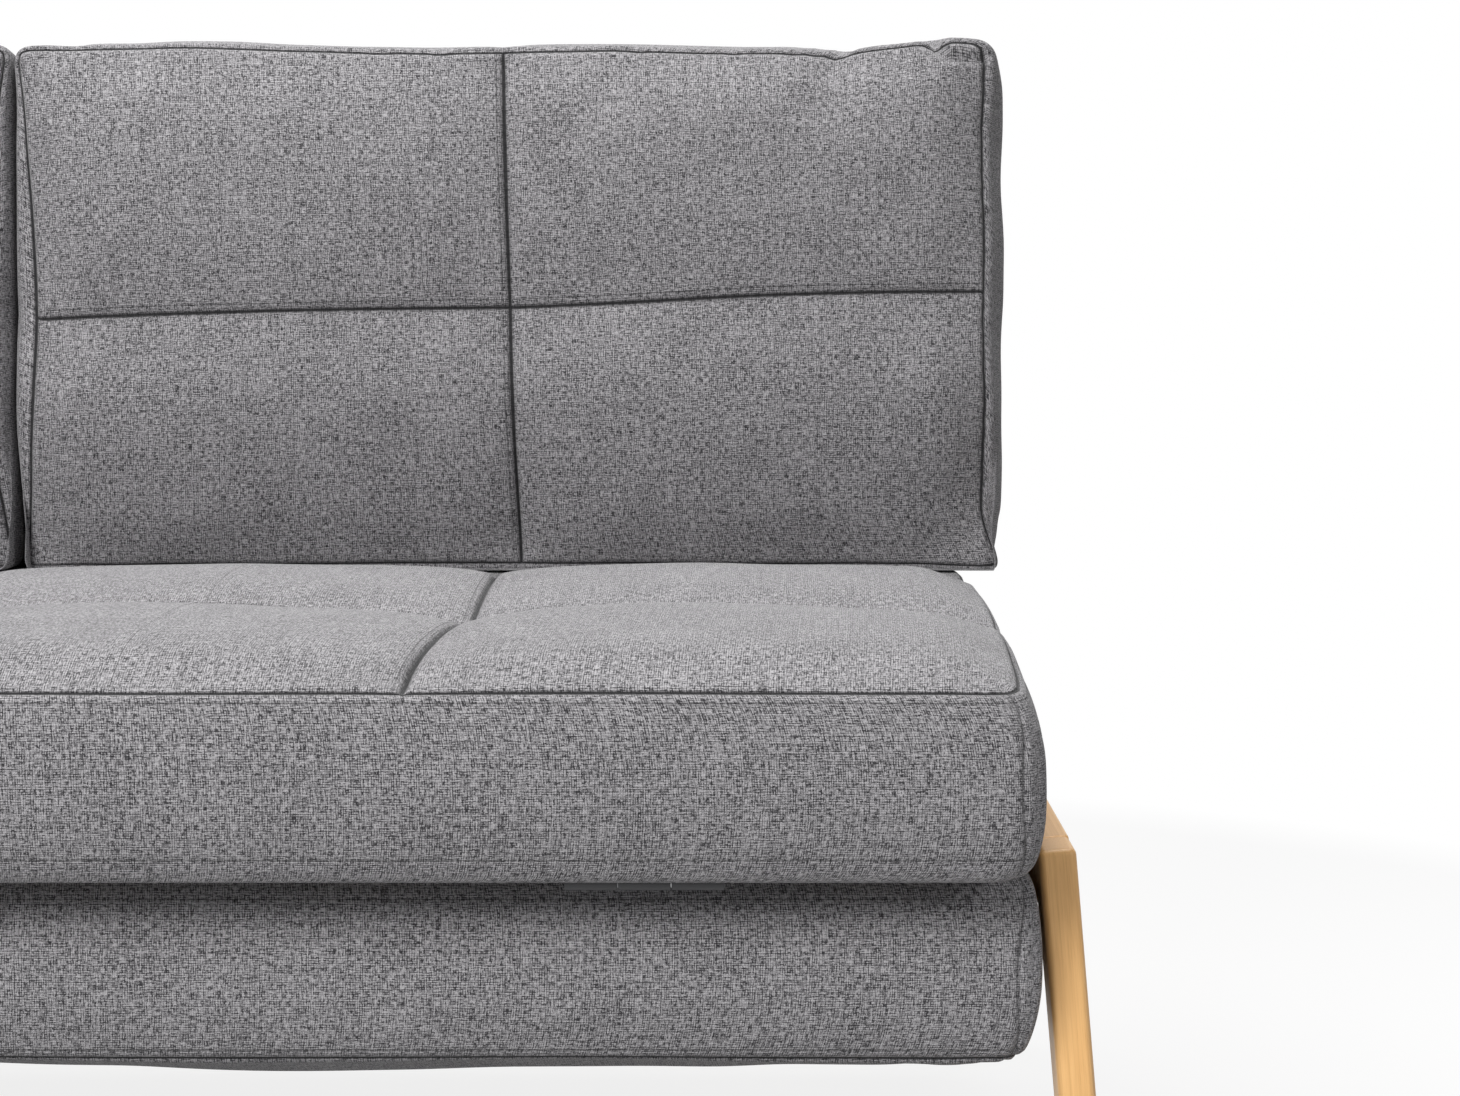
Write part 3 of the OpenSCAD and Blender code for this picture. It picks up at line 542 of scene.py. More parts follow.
def wood_material(name, light, dark, turn=None, ring=0.011, pore=0.5):
    """Straight-grained wood along a board's stored grain, or on the object's place, turned to X."""
    material, tree = blank(name)
    if turn is None:
        base = stored(tree, "grain")
    else:
        along = put(tree, "ShaderNodeMapping", Vector=object_place(tree))
        along.inputs["Rotation"].default_value = turn
        base = along.outputs[0]
    # How often the pattern changes in a metre along the grain and across it
    swirl_scale, streak_scale, pore_scale = (0.9, 30.0, 30.0), (9.0, 800.0, 800.0), (50.0, 1900.0, 1900.0)
    slow = scaled_place(tree, base, swirl_scale)
    swirl = noise_at(tree, slow, 1.0, 2.0)
    split = parts_of(tree, base)
    ring_slope, ring_width, waviness = 0.8, ring * 0.45, 0.8
    depth = mixed_in(tree, split[2], ring_slope, split[1])
    rings = mixed_in(tree, swirl, waviness, calc(tree, "DIVIDE", depth, ring_width))
    late_sharpness, pore_sharpness = 2.6, 5.0
    late = calc(tree, "POWER", calc(tree, "FRACT", rings), late_sharpness)
    streak = noise_at(tree, scaled_place(tree, base, streak_scale), 1.0, 3.0, 0.6)
    vessels = noise_at(tree, scaled_place(tree, base, pore_scale), 1.0, 1.0)
    pores = calc(tree, "POWER", vessels, pore_sharpness)
    cloud = noise_at(tree, slow, 2.0, 1.0)
    late_gain, streak_gain, streak_base, pore_gain, cloud_gain = 0.28, 0.95, -0.27, 3.0 * pore, 0.25
    factor = mixed_in(tree, late, late_gain, mixed_in(tree, streak, streak_gain, streak_base))
    factor = mixed_in(tree, pores, pore_gain, factor)
    factor = varied(tree, cloud, 0.5, cloud_gain, factor)
    colour = tone(tree, factor, light, dark)
    relief, pore_share, roughness, roughness_range = 0.00006, 3.0, 0.40, 0.10
    height = times(tree, mixed_in(tree, pores, pore_share, streak), -relief)
    surface(tree, colour, mixed_in(tree, streak, roughness_range, roughness), height,
            Coat_Weight=0.1, Coat_Roughness=0.3)
    return material


def enamel_material(name, colour):
    """Powder coat with its fine orange peel and a little wear."""
    material, tree = blank(name)
    place = object_place(tree)
    darker, lighter, roughness, roughness_range, relief = 0.8, 1.35, 0.39, 0.14, 0.00006
    peel = noise_at(tree, place, 1400.0, 2.0)
    cloud = noise_at(tree, place, 14.0, 3.0)
    shade = tone(tree, cloud, [c * darker for c in colour], [c * lighter for c in colour])
    surface(tree, shade, mixed_in(tree, cloud, roughness_range, roughness), times(tree, peel, relief))
    return material


def zinc_material():
    """Zinc plate with its cloudy patches and rolling marks."""
    material, tree = blank("zinc_plate")
    place = object_place(tree)
    dull, bright = (0.42, 0.43, 0.45), (0.66, 0.66, 0.66)
    roughness, roughness_range, relief = 0.24, 0.22, 0.00003
    patch = noise_at(tree, place, 60.0, 4.0, 0.65)
    marks = noise_at(tree, scaled_place(tree, place, (40.0, 1500.0, 1500.0)), 1.0, 2.0)
    surface(tree, tone(tree, patch, dull, bright), mixed_in(tree, patch, roughness_range, roughness),
            times(tree, marks, relief), Metallic=1.0)
    return material


def grip_material(name, colour, scale, relief):
    """Rubber or moulded plastic: one tone with a fine grain."""
    material, tree = blank(name)
    place = object_place(tree)
    darker, lighter, roughness, roughness_range, cloud_share = 0.78, 1.2, 0.62, 0.2, 0.02
    grain = noise_at(tree, place, scale, 3.0, 0.6)
    cloud = noise_at(tree, place, scale * cloud_share, 2.0)
    shade = tone(tree, cloud, [c * darker for c in colour], [c * lighter for c in colour])
    surface(tree, shade, mixed_in(tree, grain, roughness_range, roughness), times(tree, grain, relief))
    return material


def foam_material():
    """Cut foam with open cells, darkened in their pits with painted shade."""
    material, tree = blank("cut_foam")
    place = object_place(tree)
    open_cells = put(tree, "ShaderNodeTexVoronoi", {"feature": "F1"}, Vector=place, Scale=900.0)
    cells = open_cells.outputs["Distance"]
    cloud = noise_at(tree, place, 18.0, 3.0)
    # The foam darkens towards its aged colour in random patches, and in the pits of its open cells as painted
    # shade.
    fresh, aged_and_pit_shade, cell_painted_shade, cell_depth = (0.80, 0.74, 0.56), (0.55, 0.49, 0.34), 0.5, 0.00035
    shade = tone(tree, mixed_in(tree, cells, -cell_painted_shade, cloud), fresh, aged_and_pit_shade)
    surface(tree, shade, 0.95, times(tree, cells, cell_depth))
    return material


# Mesh helpers


def linked(name, data):
    """A new object in the scene, at the origin."""
    thing = bpy.data.objects.new(name, data)
    bpy.context.scene.collection.objects.link(thing)
    return thing


def mesh_of(bm, name):
    """Turns a bmesh into a new mesh."""
    mesh = bpy.data.meshes.new(name)
    bm.to_mesh(mesh)
    bm.free()
    return mesh


def smoothed(mesh):
    """Shades all faces of a mesh smoothly."""
    mesh.polygons.foreach_set("use_smooth", [True] * len(mesh.polygons))


def keep_mesh(name, mesh, material, body, node):
    """Makes an object of a finished mesh, lets it ride on its body and stand for its CAD node."""
    piece = linked(name, mesh)
    mesh.materials.clear()
    mesh.materials.append(material)
    smoothed(mesh)
    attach(piece, body)
    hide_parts(node)
    return piece


def points_of(mesh):
    """The vertices of a mesh as rows of three numbers."""
    flat = np.empty(len(mesh.vertices) * 3, np.float64)
    mesh.vertices.foreach_get("co", flat)
    return flat.reshape(-1, 3)


def set_points(mesh, points):
    """Moves the vertices of a mesh."""
    mesh.vertices.foreach_set("co", np.ascontiguousarray(points, np.float32).ravel())
    mesh.update()


def normals_of(mesh):
    """The vertex normals of a mesh as rows."""
    flat = np.empty(len(mesh.vertices) * 3, np.float32)
    mesh.vertex_normals.foreach_get("vector", flat)
    return flat.reshape(-1, 3).astype(np.float64)


def set_layer(mesh, name, values):
    """Stores a vector for each vertex."""
    layer = mesh.attributes.new(name, "FLOAT_VECTOR", "POINT")
    layer.data.foreach_set("vector", np.ascontiguousarray(values, np.float32).ravel())


def get_layer(mesh, name):
    """The stored vectors of the vertices."""
    flat = np.empty(len(mesh.vertices) * 3, np.float32)
    mesh.attributes[name].data.foreach_get("vector", flat)
    return flat.reshape(-1, 3).astype(np.float64)


def ease(t):
    """Smooth step from 0 to 1."""
    c = np.clip(t, 0.0, 1.0)
    return c * c * (3 - 2 * c)


def bell(distance, width):
    """1 at 0, falling smoothly to 0 at a few widths."""
    return np.exp(-(distance / width) ** 2)


def wander(points, wavelength, seed):
    """A smooth random field from -1 to 1 at the points."""
    rng = np.random.default_rng(seed)
    total = np.zeros(len(points))
    waves, spread = 9, 1.4
    for _ in range(waves):
        way = rng.normal(size=3)
        way /= np.linalg.norm(way)
        length = wavelength * rng.uniform(0.7, 1.6)
        total += np.sin(points @ way * (2 * math.pi / length) + rng.uniform(0, 2 * math.pi))
    return total / math.sqrt(waves * spread)


def waved(points, waves):
    """Height of some soft waves at the points."""
    return sum(height * wander(points, wavelength, seed) for height, wavelength, seed in waves)


def tuck(flat, places, width):
    """1 along a crease through some places of the cloth as it was cut, falling smoothly to 0 round it."""
    share = np.zeros(len(flat))
    for start, end in zip(places, places[1:]):
        start, way = np.array(start), np.array(end) - np.array(start)
        s = np.clip((flat - start) @ way / (way @ way), 0.0, 1.0)
        share = np.maximum(share, bell(np.linalg.norm(flat - start - s[:, None] * way, axis=1), width))
    return share


def calmed(mesh, step):
    """Evens out how far neighbouring points have moved."""
    pairs = np.empty(len(mesh.edges) * 2, np.int32)
    mesh.edges.foreach_get("vertices", pairs)
    a, b = pairs.reshape(-1, 2).T
    count = np.bincount(a, minlength=len(step)) + np.bincount(b, minlength=len(step))
    own, shared = 0.4, 0.6
    for _ in range(STEP_ROUNDS):
        total = np.stack([np.bincount(a, step[b, k], len(step)) + np.bincount(b, step[a, k], len(step))
                          for k in range(3)], 1)
        step = own * step + shared * total / count[:, None]
    return step


def grid_lines(breaks, zone=EDGE_ZONE):
    """Grid lines between breaks, crowded towards them, with a fine zone at both ends."""
    stops = [breaks[0], breaks[0] + zone, *breaks[1:-1], breaks[-1] - zone, breaks[-1]]
    lines = [stops[0]]
    fewest = 6
    for low, high in zip(stops, stops[1:]):
        at_end = low == stops[0] or high == stops[-1]
        count = max(fewest, round((high - low) / (FINE if at_end else COARSE)))
        for k in range(1, count + 1):
            s = k / count
            if not at_end:
                s = (1 - CROWDING) * s + CROWDING * (1 - math.cos(math.pi * s)) / 2
            lines.append(low + (high - low) * s)
    return np.array(lines)


def border_run(drawn, span):
    """Depths of a border and how far along its own profile each of them lies."""
    samples = 4001
    depth = (1 - np.cos(math.pi * np.linspace(0.0, 1.0, samples))) / 2
    step = np.hypot(np.diff(depth) * span, np.diff(drawn(depth)))
    return depth, np.concatenate([[0.0], np.cumsum(step)])


def fold_in(mesh, folds):
    """Presses creases into the cloth, each in one direction: its places, half width and depth."""
    points, normals, flat = points_of(mesh), normals_of(mesh), get_layer(mesh, "flat")
    flat[:, 0] = np.abs(flat[:, 0])
    step = np.zeros_like(points)
    for places, width, depth in folds:
        share = tuck(flat, places, width)[:, None]
        way = (normals * share).sum(0)
        step -= depth * share * way / np.linalg.norm(way)
    set_points(mesh, points + step)


def grid_box(lines, open_below=False):
    """A box cut along three lists of grid lines. Its vertices keep the place at which they were cut."""
    bm = bmesh.new()
    bmesh.ops.create_cube(bm, size=1.0)
    bmesh.ops.translate(bm, verts=bm.verts, vec=(0.5, 0.5, 0.5))
    if open_below:
        below = [f for f in bm.faces if f.normal.z < -0.5]
        bmesh.ops.delete(bm, geom=below, context="FACES_ONLY")
    for axis in range(3):
        edges = [e for e in bm.edges if abs((e.verts[0].co - e.verts[1].co)[axis]) > ON]
        bmesh.ops.subdivide_edges(bm, edges=edges, cuts=len(lines[axis]) - 2, use_grid_fill=True)
    mesh = mesh_of(bm, "grid")
    unit = points_of(mesh)
    flat = np.empty_like(unit)
    for axis in range(3):
        last = len(lines[axis]) - 1
        flat[:, axis] = lines[axis][np.clip(np.rint(unit[:, axis] * last).astype(int), 0, last)]
    set_layer(mesh, "flat", flat)
    return mesh, flat


def weave_map(mesh, flat, low, high):
    """Lays the weave on each side of the box as it was cut: one flat panel to a side."""
    numbers = np.empty(len(mesh.loops), np.int32)
    mesh.loops.foreach_get("vertex_index", numbers)
    quads = numbers.reshape(-1, 4)
    corner = flat[quads]
    uv = np.zeros((*quads.shape, 2))
    # Each side: the axis it faces along, its level, the axes of its weave, and its place on the roll
    sides = [
        (2, high[2], 0, 1, 0.0), (2, low[2], 0, 1, 3.0),
        (1, low[1], 0, 2, 6.0), (1, high[1], 0, 2, 9.0),
        (0, low[0], 1, 2, 12.0), (0, high[0], 1, 2, 15.0),
    ]
    along_roll, same = 0.37, 1e-7
    for axis, level, u, v, shift in sides:
        on = np.all(np.abs(corner[:, :, axis] - level) < same, axis=1)
        uv[on, :, 0] = corner[on][:, :, u] + shift
        uv[on, :, 1] = corner[on][:, :, v] + shift * along_roll
    mesh.uv_layers.new(name="weave").data.foreach_set("uv", uv.astype(np.float32).ravel())


def swell(mesh, pins, padding, move, name):
    """Inflates padded cloth with a cloth simulation and returns the moved points."""
    start = points_of(mesh)
    scene = bpy.context.scene
    piece = linked(name + "_sim", mesh)
    group = piece.vertex_groups.new(name="pins")
    alike = 0.005
    for weight in np.unique(np.round(pins, 2)):
        if weight > 0:
            group.add(np.nonzero(np.abs(pins - weight) < alike)[0].tolist(), float(weight), "REPLACE")
    cloth = piece.modifiers.new("Cloth", "CLOTH")
    settings = cloth.settings
    for setting, value in CLOTH_SETTINGS.items():
        setattr(settings, setting, value)
    settings.uniform_pressure_force = padding.pressure
    settings.shrink_min = -padding.slack
    settings.effector_weights.gravity = 0.0
    cloth.collision_settings.use_collision = False
    cloth.collision_settings.use_self_collision = False
    cloth.point_cache.frame_start = 1
    cloth.point_cache.frame_end = padding.last_frame
    for number in range(1, padding.last_frame + 1):
        scene.frame_set(number)
    graph = bpy.context.evaluated_depsgraph_get()
    grown = points_of(piece.evaluated_get(graph).data)
    bpy.data.objects.remove(piece)
    scene.frame_set(1)
    step = grown - start
    length = np.linalg.norm(step, axis=1, keepdims=True)
    step = step * np.minimum(1.0, move / np.maximum(length, TINY))
    return start + calmed(mesh, step) * (1 - pins)[:, None]


def subdivided(mesh, name):
    """The mesh after one applied level of subdivision."""
    piece = linked(name + "_sub", mesh)
    finer = piece.modifiers.new("Subdivision", "SUBSURF")
    finer.levels = 1
    finer.render_levels = 1
    graph = bpy.context.evaluated_depsgraph_get()
    done = bpy.data.meshes.new_from_object(piece.evaluated_get(graph), preserve_all_data_layers=True,
                                           depsgraph=graph)
    bpy.data.objects.remove(piece)
    done.name = name
    return done


def draw_in_seams(mesh, padding, strip, keys):
    """Draws the seams into the padding and lifts the doubled cloth beside them."""
    points, normals = points_of(mesh), normals_of(mesh)
    depth = np.zeros(len(points))
    for name, axis, side, scale in keys:
        off = get_layer(mesh, name)[:, axis]
        depth = np.maximum(depth, scale * bell(off, padding.seam_width))
        if side:
            doubled = bell(off - side * strip * DOUBLED_MIDDLE, strip * DOUBLED_WIDTH)
            depth = depth - DOUBLED_RISE * scale * doubled
    set_points(mesh, points - normals * (depth * padding.seam_depth)[:, None])


def rounded(x, u, half, length, radius):
    """Moves points of a rectangle so that its corners become round."""
    p = np.maximum(radius - (half - np.abs(x)), 0.0)
    q = np.maximum(radius - np.minimum(u, length - u), 0.0)
    m = np.maximum(p, q)
    both = (p > 0) & (q > 0)
    k = np.where(both, m / np.maximum(np.hypot(p, q), 1e-12), 1.0)
    x = np.sign(x) * (np.abs(x) - p + p * k)
    u = np.where(u < length / 2, u + q - q * k, u - q + q * k)
    return x, u


def arch(v, breaks):
    """Arch of the cloth between two channels: 0 on a channel, 1 half way, less in a short row."""
    breaks = np.asarray(breaks)
    i = np.clip(np.searchsorted(breaks, v, side="right") - 1, 0, len(breaks) - 2)
    span = breaks[i + 1] - breaks[i]
    s = np.clip((v - breaks[i]) / span, 0.0, 1.0)
    return np.sin(math.pi * s) * np.minimum(1.0, span / SHORT_ROW)


def quilt(a, b, edge, rise, puff):
    """Height of quilted cloth over its seam."""
    return rise * ease(edge / EDGE_SOFT) * (a + b - a * b) + puff * np.sqrt(np.maximum(a * b, 0.0))


def nearest(v, breaks):
    """Signed distance to the nearest of some lines."""
    gaps = v[:, None] - np.asarray(breaks)[None, :]
    return gaps[np.arange(len(v)), np.argmin(np.abs(gaps), axis=1)]


# Upholstered sections


def section_turn(name):
    """How a section that is drawn flat is turned into place."""
    if name == "front":
        return Matrix.Rotation(math.pi, 4, "Y")
    if name == "back":
        joint = joint_of["back_recline"]
        axle = Matrix.Translation(joint["pos_m"])
        turn = Matrix.Rotation(math.radians(-joint["range_deg"][0]), 4, "X")
        return axle @ turn @ axle.inverted()
    return Matrix.Identity(4)


def flat_box(node, turn):
    """Lowest and highest corner of a CAD node before its section was turned into place."""
    back = np.array(turn.inverted())
    points = points_of(frame["nodes"][node].data) @ back[:3, :3].T + back[:3, 3]
    return points.min(0), points.max(0)


def section_of(name):
    """Place and sizes of a section: x across, u along it from its near end, w up from its hem."""
    turn = section_turn(name)
    low, high = flat_box(name + "_cover", turn)
    folded = name == "front"
    side_swell = FRONT_SWELL if folded else SIDE_SWELL
    panels = FRONT_PANELS if folded else PANELS
    half = high[0] - side_swell
    length = high[1] - low[1] - 2 * END_SWELL
    rows = [0.0, length / 2, length]
    if name == "seat":
        rows = [0.0, SEAT_ROW, 2 * SEAT_ROW, length]
    roundness = FRONT_ROUND if folded else SIDE_ROUND
    depth, run = border_run(lambda t: drawn_in(t, SEWN_IN, side_swell, SIDE_HEM_IN, roundness), BORDER_H)
    return {
        "name": name,
        "depth": depth,
        "run": run,
        "girth": run[-1],
        "corner": SQUARE_CORNER_R if folded else SECTION_CORNER_R,
        "place": turn @ Matrix.Translation((0.0, low[1] + END_SWELL, low[2])),
        "half": half,
        "length": length,
        "rows": rows,
        "columns": [-half + 2 * half * i / panels for i in range(panels + 1)],
        "swell": side_swell if folded else side_swell - COVER_START,
        "roundness": roundness,
        "pressed": PRESSED_DEPTH if name == "seat" else 0.0,
    }


def fullness(t, roundness):
    """Profile of a border from seam to seam: an arc at roundness 1, and fuller below it."""
    return np.sin(math.pi * np.clip(t, TINY, 1 - TINY)) ** roundness


def drawn_in(t, seam, swell_out, hem, roundness):
    """How far the border is drawn in at depth t, from 0 at the seam to 1 at the hem."""
    end = np.where(t < 0.5, seam, hem)
    upper = 1 - np.abs(1 - 2 * t) ** 3
    return end - (end + swell_out) * np.where(t < 0.5, upper, fullness(t, roundness))


def pressed_share(section, u):
    """1 where the cushions press on a section, 0 in front of them."""
    return ease((u - section["length"] + section["pressed"]) / PRESSED_EASE)


def cover_shape(section, flat):
    """Places the points of a flat box on the quilted section."""
    half, length = section["half"], section["length"]
    x, u, w = flat.T
    t = np.interp(section["girth"] - w, section["run"], section["depth"])
    sewn = SEWN_IN + CORNER_PULL * bell(np.minimum(u, length - u), CORNER_PULL_REACH)
    if section["name"] == "seat":
        sewn = sewn - SEAT_WIDER + SEAT_TAPER * (1 - ease((u - TAPER_FROM) / TAPER_RUN))
    side = drawn_in(t, sewn, section["swell"], SIDE_HEM_IN, section["roundness"])
    if section["name"] == "front":
        # Beside its near end the hem stays full as far as the oak legs, and leaves room for the lifting arms
        plump = drawn_in(t, sewn, section["swell"] + PLUMP_SWELL, SIDE_HEM_IN, PLUMP_ROUND)
        side = plump + (side - plump) * ease((u - PLUMP_REACH) / PLUMP_EASE)
    end = drawn_in(t, END_SEAM_IN, END_SWELL, END_HEM_IN, END_ROUND)
    px, pu = rounded(x, u, half, length, section["corner"])
    edge = np.minimum(np.minimum(half - np.abs(x), u), length - u)
    bow = arch(u, section["rows"])
    rise = quilt(arch(x, section["columns"]), bow, edge, CHANNEL_RISE, PANEL_PUFF)
    rise = np.where(t < TINY, rise * (1 - PRESSED_FLAT * pressed_share(section, u)), 0.0)
    # The side seam bows out and up beside a panel, and is drawn in where a row ends
    seam = (1 - t) ** 2
    side = side + ROW_NOTCH * (1 - bow) * seam
    rise = rise + SEAM_BOW * bow * seam * ease(1 - (half - np.abs(x)) / EDGE_SOFT)
    # The tufts of the quarter columns stand a little outwards
    shift = TUFT_SHIFT * bell(np.abs(px) - half / 2, half / 5) * ease(u / SEAT_ROW) * seam
    px = px + np.sign(px) * (shift if section["name"] == "seat" else 0.0)
    y = end + pu * (length - 2 * end) / length
    return np.stack([px * (half - side) / half, y, BORDER_H * (1 - t) + rise], 1)


def cover_layers(section, mesh, flat):
    """Stores the distances to the seams of a cover."""
    half, length = section["half"], section["length"]
    x, u, w = flat.T
    top = w > section["girth"] - ON
    column = np.where(top, nearest(x, section["columns"][1:-1]), FAR)
    row = np.where(top, nearest(u, section["rows"][1:-1]), FAR)
    edge = np.minimum(np.minimum(half - np.abs(x), u), length - u)
    seam = np.where(top, edge, w - section["girth"])
    stitch_top, stitch_hem = np.interp([TOP_STITCH / BORDER_H, 1 - HEM_STITCH / BORDER_H],
                                       section["depth"], section["run"])
    set_layer(mesh, "seams", np.stack([column, row, seam], 1))
    on_end = (u < ON) | (u > length - ON)
    # The corner seam is cut in a bow, so that it stands straight on the swollen border
    t = np.interp(section["girth"] - w, section["run"], section["depth"])
    seam_in = CORNER_SEAM_IN * np.maximum(np.sin(math.pi * t), CORNER_SEAM_TOP * (1 - t))
    corner = np.where(on_end, half - np.abs(x), -np.minimum(u, length - u)) - seam_in
    corner = np.where(top & (seam > ON), FAR, corner)
    set_layer(mesh, "edges", np.stack([corner, seam + stitch_top, seam + stitch_hem], 1))


def close_hem(section, mesh):
    """Turns the hem in and closes the cover with the roof of its hollow."""
    bm = bmesh.new()
    bm.from_mesh(mesh)
    half, length = section["half"], section["length"]
    hem = [e for e in bm.edges if e.is_boundary]
    inner_x = (half - SIDE_HEM_IN - COVER_T) / (half - SIDE_HEM_IN)
    inner_u = (length - 2 * (END_HEM_IN + COVER_T)) / (length - 2 * END_HEM_IN)
    for lift in (0.0, FOAM_TOP - ROOF_SHORT):
        made = bmesh.ops.extrude_edge_only(bm, edges=hem)["geom"]
        hem = [g for g in made if isinstance(g, bmesh.types.BMEdge) and g.is_boundary]
        for vert in {v for e in hem for v in e.verts}:
            if lift == 0.0:
                vert.co.x *= inner_x
                vert.co.y = length / 2 + (vert.co.y - length / 2) * inner_u
            vert.co.z += lift
    bmesh.ops.holes_fill(bm, edges=hem, sides=0)
    bmesh.ops.recalc_face_normals(bm, faces=bm.faces)
    bm.to_mesh(mesh)
    bm.free()


def cover_pins(section, mesh, flat):
    """How firmly each point of a cover is held while it swells, from 0 to 1."""
    _, u, w = flat.T
    column, row, seam = np.abs(get_layer(mesh, "seams")).T
    pins = np.zeros(len(flat))
    pins[(column < ON) | (row < ON)] = 1.0
    pins[seam < ON] = SEAM_HOLD
    if section["name"] != "back":
        # The hinged ends of the seat and front sections meet when the bed is made
        pins[(u < ON) & (w < section["girth"] - ON)] = HINGE_HOLD
    pins[w < ON] = 1.0
    pins[u > section["length"] - section["pressed"] * PRESSED_HOLD] = 1.0
    return pins


def make_cover(name, material, look, padding):
    """Makes the quilted cover of one section."""
    section = section_of(name)
    half, girth = section["half"], section["girth"]
    lines = [
        grid_lines(section["columns"]),
        grid_lines(section["rows"], zone=ROW_END_ZONE),
        np.linspace(0.0, girth, BORDER_LINES),
    ]
    mesh, flat = grid_box(lines, open_below=True)
    weave_map(mesh, flat, (-half, 0.0, 0.0), (half, section["length"], girth))
    cover_layers(section, mesh, flat)
    shape = cover_shape(section, flat)
    set_points(mesh, shape)
    pins = cover_pins(section, mesh, flat)
    moved = swell(mesh, pins, padding, padding.cover_move, name)
    set_points(mesh, moved)
    moved = moved + normals_of(mesh) * waved(shape, COVER_WAVES)[:, None] * (1 - pins)[:, None]
    # Under the cushions the quilting stays low
    pressed = pressed_share(section, flat[:, 1])
    low = BORDER_H + PRESSED_PUFF * (CHANNEL_RISE + PANEL_PUFF) + (1 - pressed) * PRESSED_SLOPE
    moved[:, 2] = np.minimum(moved[:, 2], np.where(pressed > PRESSED_LEAST, low, FAR))
    set_points(mesh, moved)
    done = subdivided(mesh, name + "_quilt")
    draw_in_seams(done, padding, look.strip, COVER_SEAMS)
    places, width, depth = COVER_FOLD
    fold_in(done, [([(half - x, u, girth) for x, u in places], width, depth)])
    close_hem(section, done)
    done.transform(section["place"])
    piece = keep_mesh(name + "_upholstery", done, material, name + "_section", name + "_cover")


def make_foam(name, material):
    """Makes the foam block that shows between the slats of one section."""
    section = section_of(name)
    inner = section["half"] - SIDE_HEM_IN - COVER_T - FOAM_ROOM
    ends = END_HEM_IN + COVER_T + FOAM_ROOM
    spans = ((-inner, inner), (ends, section["length"] - ends), (FOAM_BOTTOM, FOAM_TOP - FOAM_SHORT))
    mesh, flat = grid_box([np.linspace(low, high, count) for (low, high), count in zip(spans, FOAM_LINES)])
    underside = ease((FOAM_BOTTOM + FOAM_SOFT - flat[:, 2]) / FOAM_SOFT)
    shape = flat.copy()
    shape[:, 2] += underside * (FOAM_SAG + waved(flat, FOAM_WAVES))
    set_points(mesh, shape)
    mesh.transform(section["place"])
    piece = keep_mesh(name + "_foam_block", mesh, material, name + "_section", name + "_foam")
    soft = piece.modifiers.new("Rounded edges", "BEVEL")
    soft.width = FOAM_EDGE_R
    soft.segments = 3
    soft.limit_method = "ANGLE"


# Back cushions


def cushion_sizes():
    """Place and sizes of the cushions, from the CAD nodes."""
    low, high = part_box("right_back_cushion")
    seat = section_of("seat")
    back = section_of("back")
    foot = back["place"] @ Vector((0.0, 0.0, BORDER_H))
    hem_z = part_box("seat_cover")[0].z
    return {
        "width": high.x - CUSHION_GAP / 2,
        "clear": CUSHION_GAP / 2 - SIDE_ROOM,
        "rest_z": low.z,
        "foot": foot,
        "seam_n": CHANNEL_RISE + PANEL_PUFF + REAR_CROWN + ROOM,
        "seat_end": (seat["place"] @ Vector((0.0, seat["length"], 0.0))).y,
        "clear_z": hem_z + BORDER_H + CHANNEL_RISE + PANEL_PUFF + FLAT_ROOM,
    }


def on_back(sizes, side, x, t, n):
    """From a place on the leaning back: t up its lean, n forward of its face."""
    lean = math.radians(BACK_LEAN)
    foot = sizes["foot"]
    y = foot.y + t * math.sin(lean) - n * math.cos(lean)
    z = foot.z + t * math.cos(lean) + n * math.sin(lean)
    return np.stack([CUSHION_SHIFT + side * (CUSHION_GAP / 2 + x), y, z], 1)


def rested(sizes, points):
    """Keeps the underside on the seat, and clear of the back section when that lies flat."""
    behind = ease((points[:, 1] - sizes["seat_end"] + REST_FROM) / REST_RUN)
    points = points.copy()
    points[:, 2] = np.maximum(points[:, 2], sizes["rest_z"] + (sizes["clear_z"] - sizes["rest_z"]) * behind)
    return points


def clear_of_back(sizes, side, points):
    """Keeps a cushion in front of the back's quilting and on its own side of the gap between the two."""
    lean = math.radians(BACK_LEAN)
    foot = sizes["foot"]
    reach = -(points[:, 1] - foot.y) * math.cos(lean) + (points[:, 2] - foot.z) * math.sin(lean)
    push = np.maximum(CHANNEL_RISE + PANEL_PUFF + ROOM - reach, 0.0)
    points[:, 1] -= push * math.cos(lean)
    points[:, 2] += push * math.sin(lean)
    inside = side * (points[:, 0] - CUSHION_SHIFT) < sizes["clear"]
    points[:, 0] = np.where(inside, CUSHION_SHIFT + side * sizes["clear"], points[:, 0])


def cushion_folds(width, height, thick, side):
    """The folds at the upper outer corner, and small gathers along the border seams."""
    places, fold_width, depth = CORNER_FOLD
    folds = [([(width - x, thick - n, height - t) for x, n, t in places], fold_width, depth)]
    places, fold_width, depth = TOP_FOLD
    folds.append(([(width * x, thick - n, height - t) for x, n, t in places], fold_width, depth))
    rng = np.random.default_rng(GATHER_SEED + side)
    for _ in range(GATHERS):
        reach, deep = rng.uniform(*GATHER_REACH), rng.uniform(*GATHER_DEPTH)
        if rng.random() < 0.5:
            at = rng.uniform(GATHER_END, width - GATHER_END)
            places = [(at, thick - reach, height), (at, thick, height),
                      (at + reach / 3, thick, height - reach / 2)]
        else:
            at = rng.uniform(GATHER_END, height - GATHER_END)
            places = [(width, thick - reach, at), (width, thick, at),
                      (width - reach / 2, thick, at + reach / 3)]
        folds.append((places, rng.uniform(*GATHER_WIDTH), deep))
    return folds


